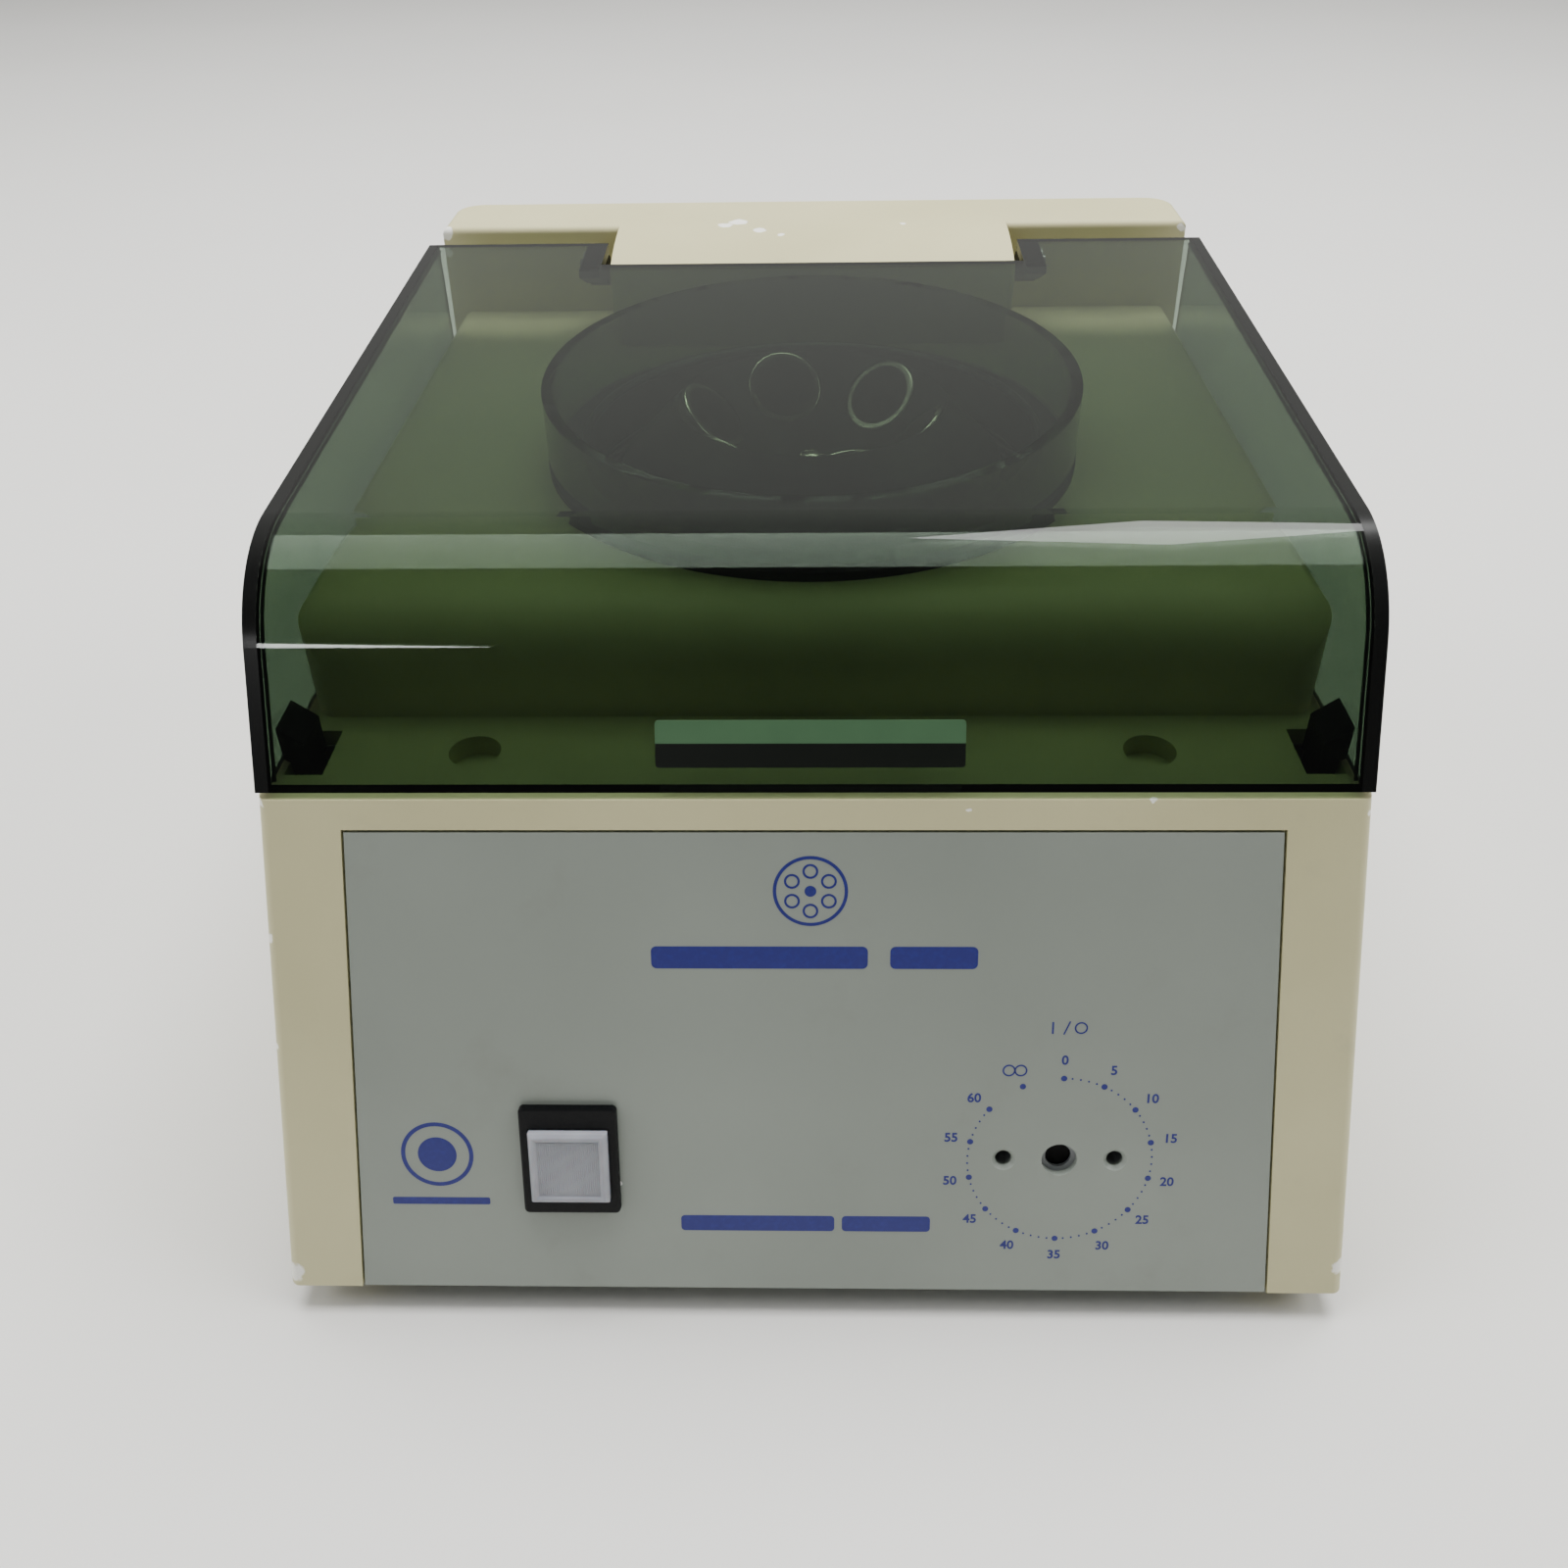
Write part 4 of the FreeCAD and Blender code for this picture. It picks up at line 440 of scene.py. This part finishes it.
def make_lamination_steel():
    """Stacked silicon steel sheets 0.5 mm thick, drawn at 1 mm so that the joints show."""
    material, tree, shader, place = begin_material("Stacked lamination steel", 0.48, 0.9)
    layers = add(tree, "ShaderNodeTexWave", {"wave_type": "BANDS", "bands_direction": "Z"}, {
        "Vector": place, "Scale": per_metre(1.0) / math.tau * 2}).outputs["Fac"]
    tint(tree, shader, layers, "#3B3B3C", "#77787A")
    relief(tree, shader, layers, 0.1, 0.5)
    return material


def make_enamelled_copper():
    """Copper winding wire under amber enamel, tied and varnished."""
    material, tree, shader, place = begin_material("Enamelled copper wire", 0.28, 0.9)
    turns = noise(tree, place, 1.6, 4.0)
    tint(tree, shader, turns, "#8A3E1D", "#C46A36")
    relief(tree, shader, turns, 0.15, 0.6)
    return material


def make_moulded_rubber():
    """Moulded nitrile rubber: matt black with a dusty bloom."""
    material, tree, shader, place = begin_material("Moulded black rubber", 0.62, ior=1.5)
    bloom = noise(tree, place, 8.0, 5.0, 0.6)
    tree.links.new(blend_colours(tree, band(tree, bloom, 0.4, 0.8), colour("#0D0E0E"), colour("#1C1D1D")),
                   shader.inputs["Base Color"])
    relief(tree, shader, noise(tree, place, 2.4, 2.0), 0.02, 0.2)
    return material


def make_plastic(name, first, second, roughness, grain_mm, depth_mm, ior=1.5):
    """Moulded plastic with a spark-eroded tool texture of the given grain."""
    material, tree, shader, place = begin_material(name, roughness, ior=ior)
    tone = band(tree, noise(tree, place, 18.0, 4.0), 0.3, 0.75)
    tint(tree, shader, tone, first, second)
    grain = noise(tree, place, grain_mm, 2.0)
    dulled = band(tree, grain, 0.3, 0.7, roughness - 0.05, roughness + 0.08)
    tree.links.new(dulled, shader.inputs["Roughness"])
    relief(tree, shader, grain, depth_mm, 0.5)
    return material


def make_lens_plastic():
    """Milky polycarbonate diffuser over a lamp: slightly translucent, grey when it isn't lit."""
    material, tree, shader, place = begin_material("Milky polycarbonate", 0.33, ior=1.58)
    tone = band(tree, noise(tree, place, 5.0, 4.0), 0.3, 0.75)
    tint(tree, shader, tone, "#9C9EA6", "#8F9199")
    shader.inputs["Subsurface Weight"].default_value = 0.15
    shader.inputs["Subsurface Scale"].default_value = mm(1.0)
    return material


def make_label_film():
    """Two-tone polyester label printed on its back: a pale band over a black one, left blank."""
    material, tree, shader, place = begin_material("Printed polyester film", 0.30, ior=1.5)
    low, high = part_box("lid_label")
    split = low.z + (high.z - low.z) * 0.52
    height = add(tree, "ShaderNodeSeparateXYZ", None, {"Vector": place}).outputs["Z"]
    upper = band(tree, height, split - mm(0.05), split + mm(0.05))
    pale = blend_colours(tree, noise(tree, place, 9.0, 3.0), colour("#4A6B4D"), colour("#426145"))
    tree.links.new(blend_colours(tree, upper, colour("#0C100C"), pale), shader.inputs["Base Color"])
    return material


def make_printing_ink():
    """Screen-printed epoxy ink: flat deep blue, a little uneven where the mesh left less."""
    material, tree, shader, place = begin_material("Screen printed blue ink", 0.45, ior=1.5)
    thin = noise(tree, place, 1.2, 3.0)
    tree.links.new(blend_colours(tree, band(tree, thin, 0.45, 0.8), colour("#081270"), colour("#121D7C")),
                   shader.inputs["Base Color"])
    return material


def make_cement():
    """Solvent cement squeezed out of a joint: a glossy dark bead."""
    material, tree, shader, place = begin_material("Set acrylic cement", 0.12, ior=1.49)
    tree.links.new(blend_colours(tree, noise(tree, place, 3.0), colour("#0C120B"), colour("#1B2619")),
                   shader.inputs["Base Color"])
    return material


def make_bench_top():
    """Pale laminate under soft light."""
    material, tree, shader, place = begin_material("Pale bench laminate", 0.75, ior=1.5)
    cloud = noise(tree, place, 260.0, 4.0)
    tint(tree, shader, cloud, "#DCDBD7", "#E3E2DE")
    return material


# ---- dress the CAD nodes ---------------------------------------------------------------------
def dress_nodes():
    finishes = {
        "painted_foam": make_moulded_housing_paint(),
        "panel_paint": make_panel_paint(),
        "zinc_steel": make_zinc_steel(),
        "stainless": make_drawn_stainless(),
        "black_rubber": make_moulded_rubber(),
        # bright zinc on a steel screw: pale and slightly grainy
        "plated_screw": make_metal("Bright zinc screw", "#B9BCBE", 0.30, 1.5),
        # sand-cast and tumbled aluminium: grey, broad soft highlights
        "cast_aluminium": make_metal("Cast aluminium", "#9C9FA0", 0.46, 2.5),
        "lamination_steel": make_lamination_steel(),
        "copper_winding": make_enamelled_copper(),
        # ground and oiled bearing steel: bright with a tight grain
        "ground_steel": make_metal("Ground bearing steel", "#B4B5B6", 0.20, 0.8, 0.06),
        "black_anodised": make_anodised_head(),
        # bright nickel on a turned nut: warm white, nearly mirror
        "nickel_plate": make_metal("Bright nickel plate", "#D2CCC0", 0.16, 4.0, 0.06),
        "tinted_acrylic": make_lid_side_acrylic(),
        "label_film": make_label_film(),
        # glass-filled nylon: deep black, satin, finely sparked
        "black_nylon": make_plastic("Black moulded nylon", "#040507", "#07080A", 0.55, 0.8, 0.02, 1.3),
        "white_lens": make_lens_plastic(),
        # compression-moulded phenolic: brown-black, harder shine
        "phenolic": make_plastic("Moulded phenolic", "#15110F", "#201A17", 0.30, 1.6, 0.02),
        # grey PVC and polypropylene of the electrical parts
        "grey_plastic": make_plastic("Grey moulded plastic", "#8C8F91", "#7E8183", 0.45, 1.0, 0.03)}
    special = {
        "lid_sheet": make_lid_front_acrylic(),
        "guard_ring": make_guard_ring_acrylic(),
        "chamber_bowl": make_shade_darkened_bowl(),
        # chemically blacked steel; its near-black colour also paints the shade inside the panel's hole
        "timer_shaft": make_metal("Blacked steel", "#161616", 0.5, 2.0),
        "rotor_head": finishes["black_anodised"]}
    for part in frame["record"]["subparts"]:
        node = frame["nodes"][part["node"]]
        node.data.materials.clear()
        node.data.materials.append(special.get(part["node"], finishes[part["material_slot"]]))
    return finishes


# ---- printing on the front panel -------------------------------------------------------------
INK = mm(0.04)
DIVISIONS = 14
DOT_RADIUS = mm(21.5)
NUMBER_RADIUS = mm(26.1)


def on_dial(radius, step):
    angle = math.tau * step / DIVISIONS
    return DIAL_X + radius * math.sin(angle), radius * math.cos(angle)


def print_disc(x, up, radius, sides):
    deselect_all()
    bpy.ops.mesh.primitive_circle_add(vertices=sides, radius=radius, fill_type="NGON", location=(x, up, 0))
    disc = bpy.context.object
    pick_faces(disc, lambda face: True)
    bpy.ops.mesh.extrude_region_move(TRANSFORM_OT_translate={"value": (0, 0, INK)})
    bpy.ops.object.mode_set(mode="OBJECT")
    return settle(disc)


def print_ring(x, up, radius, line, sides=48):
    """A printed circle line of the given thickness."""
    deselect_all()
    bpy.ops.mesh.primitive_circle_add(vertices=sides, radius=radius, fill_type="NGON", location=(x, up, 0))
    ring = bpy.context.object
    pick_faces(ring, lambda face: True)
    bpy.ops.mesh.inset(thickness=line)
    bpy.ops.mesh.delete(type="FACE")
    bpy.ops.mesh.select_all(action="SELECT")
    bpy.ops.mesh.extrude_region_move(TRANSFORM_OT_translate={"value": (0, 0, INK)})
    bpy.ops.object.mode_set(mode="OBJECT")
    return settle(ring)


def print_bar(x, up, width, height, turn=0.0):
    """A printed bar with rounded corners."""
    deselect_all()
    bpy.ops.mesh.primitive_plane_add(size=1, location=(x, up, 0), rotation=(0, 0, turn))
    bar = bpy.context.object
    bar.scale = (width, height, 1)
    settle(bar)
    edit(bar)
    bpy.ops.object.mode_set(mode="EDIT")
    bpy.ops.mesh.select_all(action="SELECT")
    bpy.ops.mesh.bevel(offset=min(width, height) * 0.22, segments=4, affect="VERTICES")
    bpy.ops.mesh.select_all(action="SELECT")
    bpy.ops.mesh.extrude_region_move(TRANSFORM_OT_translate={"value": (0, 0, INK)})
    bpy.ops.object.mode_set(mode="OBJECT")
    return bar


def print_number(text, x, up, height):
    deselect_all()
    bpy.ops.object.text_add(location=(x, up, 0))
    number = bpy.context.object
    number.data.body = text
    number.data.size = height * 1.38
    number.data.align_x = "CENTER"
    number.data.align_y = "CENTER"
    number.data.resolution_u = 4
    number.data.offset = mm(0.075)
    number.data.extrude = INK
    bpy.ops.object.convert(target="MESH")
    return settle(bpy.context.object)


def lay_on_panel(pieces, name, material):
    piece = join(pieces)
    settle(piece, PANEL_AXES)
    return hand_over(piece, name, "base", material)


def make_dial_print(ink):
    numbers = [print_number(str(5 * step), *on_dial(NUMBER_RADIUS, step), mm(2.35)) for step in range(13)]
    lay_on_panel(numbers, "dial_numbers", ink)
    large = [print_disc(*on_dial(DOT_RADIUS, step), mm(0.72), 20) for step in range(DIVISIONS)]
    small = [print_disc(*on_dial(DOT_RADIUS, step + part / 5), mm(0.24), 10)
             for step in range(12) for part in range(1, 5)]
    lay_on_panel(large + small, "dial_dots", ink)
    hold_x, hold_up = on_dial(NUMBER_RADIUS, 13)
    loops = [print_ring(hold_x + side * mm(1.35), hold_up, mm(1.5), mm(0.36), 28) for side in (-1, 1)]
    lay_on_panel(loops, "dial_hold_sign", ink)
    off_up = mm(34.4)
    marks = [print_ring(DIAL_X + mm(3.2), off_up, mm(1.5), mm(0.36), 32),
             print_bar(DIAL_X - mm(3.2), off_up, mm(0.42), mm(3.0)),
             print_bar(DIAL_X, off_up, mm(0.34), mm(3.6), math.radians(-22))]
    lay_on_panel(marks, "dial_on_off_sign", ink)


def make_emblem(ink):
    """A plain sign for a six-place rotor, with blank bars where names would be."""
    middle = mm(67.7)
    marks = [print_ring(0, middle, mm(8.3), mm(0.75), 64), print_disc(0, middle, mm(1.3), 24)]
    for step in range(6):
        angle = math.tau * (step + 0.5) / 6
        marks.append(print_ring(mm(4.7) * math.cos(angle), middle + mm(4.7) * math.sin(angle),
                                mm(1.75), mm(0.5), 28))
    lay_on_panel(marks, "panel_emblem", ink)


def make_name_bars(ink):
    """Blank bars in two lengths at the head of the panel, and two smaller ones near its foot."""
    places = [(-11.5, 51.7, 48.6, 5.4), (27.6, 51.7, 19.6, 5.4),
              (-12.8, -17.8, 36.6, 4.2), (17.8, -17.8, 21.0, 4.2)]
    bars = [print_bar(mm(x), mm(up), mm(width), mm(height)) for x, up, width, height in places]
    lay_on_panel(bars, "panel_name_bars", ink)


def make_panel_roundel(ink):
    """A plain roundel over a blank bar, left of the switch."""
    x, up = mm(-88.4), mm(0.6)
    marks = [print_ring(x, up, mm(8.6), mm(1.0), 64), print_disc(x, up, mm(4.6), 48),
             print_bar(x, up - mm(12.7), mm(23.4), mm(1.9))]
    lay_on_panel(marks, "panel_roundel", ink)


# ---- switch ----------------------------------------------------------------------------------
LENS_SIZE = mm(18.6)
LENS_PROUD = mm(4.2)
LENS_SKIRT = mm(8.0)
LENS_WALL = mm(1.5)
RIB_COUNT = 30


def lens_axes():
    low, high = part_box("switch_cap")
    centre = (low + high) / 2
    up = (centre - PANEL_ORIGIN).dot(PANEL_UP)
    return PANEL_AXES @ Matrix.Translation((centre.x, up, 0))


def make_switch_lens(lens_plastic):
    """Square diffuser: a bevelled rim round a sunk face with fine ribs, hollow behind, on a stem."""
    deselect_all()
    depth = LENS_PROUD + LENS_SKIRT
    bpy.ops.mesh.primitive_cube_add(size=1, location=(0, 0, LENS_PROUD - depth / 2))
    lens = bpy.context.object
    lens.scale = (LENS_SIZE, LENS_SIZE, depth)
    settle(lens)
    pick_faces(lens, lambda face: face.normal.z > 0.9 and face.center.z > LENS_PROUD - mm(0.1))
    bpy.ops.mesh.inset(thickness=mm(0.9))
    bpy.ops.object.mode_set(mode="OBJECT")
    outside = LENS_SIZE / 2 - mm(0.01)
    rim = [v for v in lens.data.vertices if v.co.z > 0 and max(abs(v.co.x), abs(v.co.y)) > outside]
    for vertex in rim:
        vertex.co.z -= mm(1.0)
    pick_faces(lens, lambda face: face.normal.z > 0.9 and face.area > (LENS_SIZE * 0.7) ** 2)
    bpy.ops.mesh.inset(thickness=mm(0.7))
    bpy.ops.mesh.inset(thickness=mm(0.45), depth=mm(-0.6))
    bpy.ops.object.mode_set(mode="OBJECT")
    pick_faces(lens, lambda face: face.normal.z < -0.9)
    bpy.ops.mesh.inset(thickness=LENS_WALL)
    bpy.ops.mesh.extrude_region_move(TRANSFORM_OT_translate={"value": (0, 0, depth - mm(2.6))})
    bpy.ops.object.mode_set(mode="OBJECT")
    bevel(lens, mm(0.28), 3)
    deselect_all()
    half = LENS_SIZE / 2 - mm(2.35)
    bpy.ops.mesh.primitive_cylinder_add(vertices=12, radius=mm(0.19), depth=half * 2,
                                        location=(-half, 0, LENS_PROUD - mm(0.62)),
                                        rotation=(math.pi / 2, 0, 0))
    rib = bpy.context.object
    settle(rib)
    array = rib.modifiers.new("Ribs", "ARRAY")
    array.count = RIB_COUNT
    array.use_relative_offset = False
    array.use_constant_offset = True
    array.constant_offset_displace = (half * 2 / (RIB_COUNT - 1), 0, 0)
    apply_modifiers(rib)
    deselect_all()
    bpy.ops.mesh.primitive_cylinder_add(vertices=32, radius=mm(3), depth=depth,
                                        location=(0, 0, -depth / 2 + mm(2)))
    stem = settle(bpy.context.object)
    bevel(stem, mm(0.4), 2)
    lens = join([lens, rib, stem])
    settle(lens, lens_axes())
    bpy.ops.object.shade_smooth_by_angle(angle=math.radians(35))
    hand_over(lens, "switch_lens", "switch_button", lens_plastic)
    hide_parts("switch_cap")


def make_switch_coil(steel):
    """Compression spring round the lens stem."""
    wire, radius, turns = mm(0.42), mm(4.2), 7
    low, high = -LENS_SKIRT - mm(7.4), LENS_PROUD - mm(2.6)
    deselect_all()
    bpy.ops.mesh.primitive_circle_add(vertices=10, radius=wire, location=(radius, 0, low),
                                      rotation=(math.pi / 2, 0, 0))
    coil = settle(bpy.context.object)
    wind = coil.modifiers.new("Wind", "SCREW")
    wind.steps = 28
    wind.render_steps = 28
    wind.iterations = turns
    wind.screw_offset = (high - low - wire) / turns
    wind.axis = "Z"
    wind.use_merge_vertices = True
    apply_modifiers(coil)
    edit(coil)
    bpy.ops.object.mode_set(mode="EDIT")
    bpy.ops.mesh.select_mode(type="EDGE")
    bpy.ops.mesh.select_non_manifold()
    bpy.ops.mesh.edge_face_add()
    bpy.ops.mesh.select_all(action="SELECT")
    bpy.ops.mesh.normals_make_consistent(inside=False)
    bpy.ops.object.mode_set(mode="OBJECT")
    axes = lens_axes()
    settle(coil, axes)
    bpy.ops.object.shade_smooth_by_angle(angle=math.radians(40))
    hand_over(coil, "switch_coil_spring", "base", steel)
    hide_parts("switch_spring")
    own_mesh(coil)


# ---- motor windings --------------------------------------------------------------------------
COIL_COUNT = 24


def make_winding_heads(copper):
    """Coil heads at both ends of the stator: overlapping wire bundles laced into a ring."""
    low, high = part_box("motor_windings")
    centre = (low + high) / 2
    outer = (high.x - low.x) / 2
    ring = outer - mm(6.7)
    height = mm(3.7)
    bundles = []
    deselect_all()
    bpy.ops.mesh.primitive_torus_add(major_segments=28, minor_segments=8, major_radius=mm(4.3),
                                     minor_radius=mm(1.0), location=(ring, 0, 0))
    coil = bpy.context.object
    coil.scale = (1.25, 1.0, 1.2)
    coil.rotation_euler = (math.radians(11), 0, 0)
    settle(coil)
    for z in (low.z + height / 2, high.z - height / 2):
        for step in range(COIL_COUNT):
            turn = Matrix.Rotation(math.tau * step / COIL_COUNT, 4, "Z")
            bundles.append(copy_to(coil, Matrix.Translation((centre.x, centre.y, z)) @ turn))
    bpy.data.objects.remove(coil)
    heads = settle(join(bundles))
    bpy.ops.object.shade_smooth()
    hand_over(heads, "winding_heads", "base", copper)
    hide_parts("motor_windings")


# ---- lid trimmings ---------------------------------------------------------------------------
LID_LEAN = math.radians(26)
LID_BEND = mm(32)
BEAD = mm(0.45)


def lid_inside_outline():
    """Points (y, z) just under the lid's skin: the bottom, round the bend and back to the rear."""
    skin = mm(3.0) + BEAD
    slope = math.radians(2.35)
    foot = Vector((SIDE_LOW.y, SIDE_LOW.z))
    up = Vector((math.sin(LID_LEAN), math.cos(LID_LEAN)))
    inward = Vector((math.cos(LID_LEAN), -math.sin(LID_LEAN)))
    centre = foot + up * mm(31.5) + inward * LID_BEND
    points = [foot + inward * (skin + mm(0.4)) + up * mm(2.0)]
    for step in range(13):
        angle = math.pi - LID_LEAN - (math.pi / 2 - LID_LEAN - slope) * step / 12
        reach = LID_BEND - skin
        points.append(centre + Vector((math.cos(angle), math.sin(angle))) * reach)
    rear = SIDE_HIGH.y - mm(2.0)
    last = points[-1]
    points.append(Vector((rear, last.y + (rear - last.x) * math.tan(slope))))
    return points


def make_cement_lines(cement):
    """Beads of set cement along the inside corners between the lid sheet and its sides."""
    beads = []
    for side in (-1, 1):
        x = side * (LID_HIGH.x - BEAD)
        curve = bpy.data.curves.new("bead", "CURVE")
        curve.dimensions = "3D"
        curve.bevel_depth = BEAD
        curve.bevel_resolution = 2
        curve.use_fill_caps = True
        path = curve.splines.new("POLY")
        points = lid_inside_outline()
        path.points.add(len(points) - 1)
        for point, (y, z) in zip(path.points, points):
            point.co = (x, y, z, 1)
        bead = bpy.data.objects.new("bead", curve)
        bpy.context.scene.collection.objects.link(bead)
        deselect_all()
        bead.select_set(True)
        bpy.context.view_layer.objects.active = bead
        bpy.ops.object.convert(target="MESH")
        beads.append(bpy.context.object)
    piece = settle(join(beads))
    bpy.ops.object.shade_smooth()
    hand_over(piece, "lid_cement_lines", "lid", cement)


# ---- camera, floor, light --------------------------------------------------------------------
CAMERA_TURN = (37.41, 1.73, -1.10)      # pitch down, yaw and roll, degrees
CAMERA_PLACE = (mm(1.57), mm(-348.56), mm(311.6))


def make_camera():
    data = bpy.data.cameras.new("camera")
    data.lens = 32.0
    data.sensor_width = 36.0
    camera = bpy.data.objects.new("camera", data)
    bpy.context.scene.collection.objects.link(camera)
    pitch, yaw, roll = (math.radians(angle) for angle in CAMERA_TURN)
    right = Vector((math.cos(yaw), math.sin(yaw), 0))
    level = Vector((-math.sin(yaw), math.cos(yaw), 0))
    up = Vector((0, 0, 1))
    ahead = level * math.cos(pitch) - up * math.sin(pitch)
    over = up * math.cos(pitch) + level * math.sin(pitch)
    across = right * math.cos(roll) + over * math.sin(roll)
    over = over * math.cos(roll) - right * math.sin(roll)
    turn = Matrix((across, over, -ahead)).transposed().to_4x4()
    camera.matrix_world = Matrix.Translation(CAMERA_PLACE) @ turn
    bpy.context.scene.camera = camera


def make_floor():
    deselect_all()
    bpy.ops.mesh.primitive_grid_add(x_subdivisions=4, y_subdivisions=4, size=9, location=(0, 1.5, 0))
    floor = settle(bpy.context.object)
    floor.name = "floor"
    floor.data.materials.append(make_bench_top())


def make_area_light(name, place, aim, width, height, power):
    data = bpy.data.lights.new(name, "AREA")
    data.shape = "RECTANGLE"
    data.size = width
    data.size_y = height
    data.energy = power
    light = bpy.data.objects.new(name, data)
    bpy.context.scene.collection.objects.link(light)
    light.location = place
    light.rotation_euler = (Vector(aim) - Vector(place)).to_track_quat("-Z", "Y").to_euler()
    return light


DIM_ROOM = (0.07, 0.07, 0.07, 1)
PALE_WALL = (0.50, 0.50, 0.48, 1)


def make_studio():
    """A pale wall behind and a dim room in front, with a soft box on each side and one overhead; two
    small lamps put the bright streaks on the lid's bend and on its front."""
    world = bpy.data.worlds.new("studio")
    bpy.context.scene.world = world
    world.use_nodes = True
    tree = world.node_tree
    sky = tree.nodes["Background"]
    heading = add(tree, "ShaderNodeTexCoord").outputs["Generated"]
    depth = add(tree, "ShaderNodeSeparateXYZ", None, {"Vector": heading}).outputs["Y"]
    bright = band(tree, depth, -0.15, 0.45)
    shade = blend_colours(tree, bright, DIM_ROOM, PALE_WALL)
    tree.links.new(shade, sky.inputs["Color"])
    sky.inputs["Strength"].default_value = 1.0
    make_area_light("left_softbox", (-1.6, -0.25, 1.2), (0, 0, 0.08), 1.1, 1.1, 17)
    make_area_light("right_softbox", (1.45, -0.1, 1.25), (0, 0, 0.08), 1.0, 0.8, 16)
    make_area_light("lid_streak_lamp", (0.44, 0.62, 1.50), (0, 0, 0.15), 0.40, 0.60, 4.5)
    make_area_light("far_left_window", (-0.62, -1.55, 0.85), (0, 0, 0.15), 0.34, 0.05, 0.9)
    ceiling = make_area_light("ceiling_softbox", (0, 0.55, 2.2), (0, 0, 0), 2.0, 1.4, 96)
    ceiling.visible_glossy = False


finishes = dress_nodes()
ink = make_printing_ink()
make_dial_print(ink)
make_emblem(ink)
make_name_bars(ink)
make_panel_roundel(ink)
make_switch_lens(finishes["white_lens"])
make_switch_coil(finishes["ground_steel"])
make_winding_heads(finishes["copper_winding"])
make_cement_lines(make_cement())
make_floor()
make_camera()
make_studio()
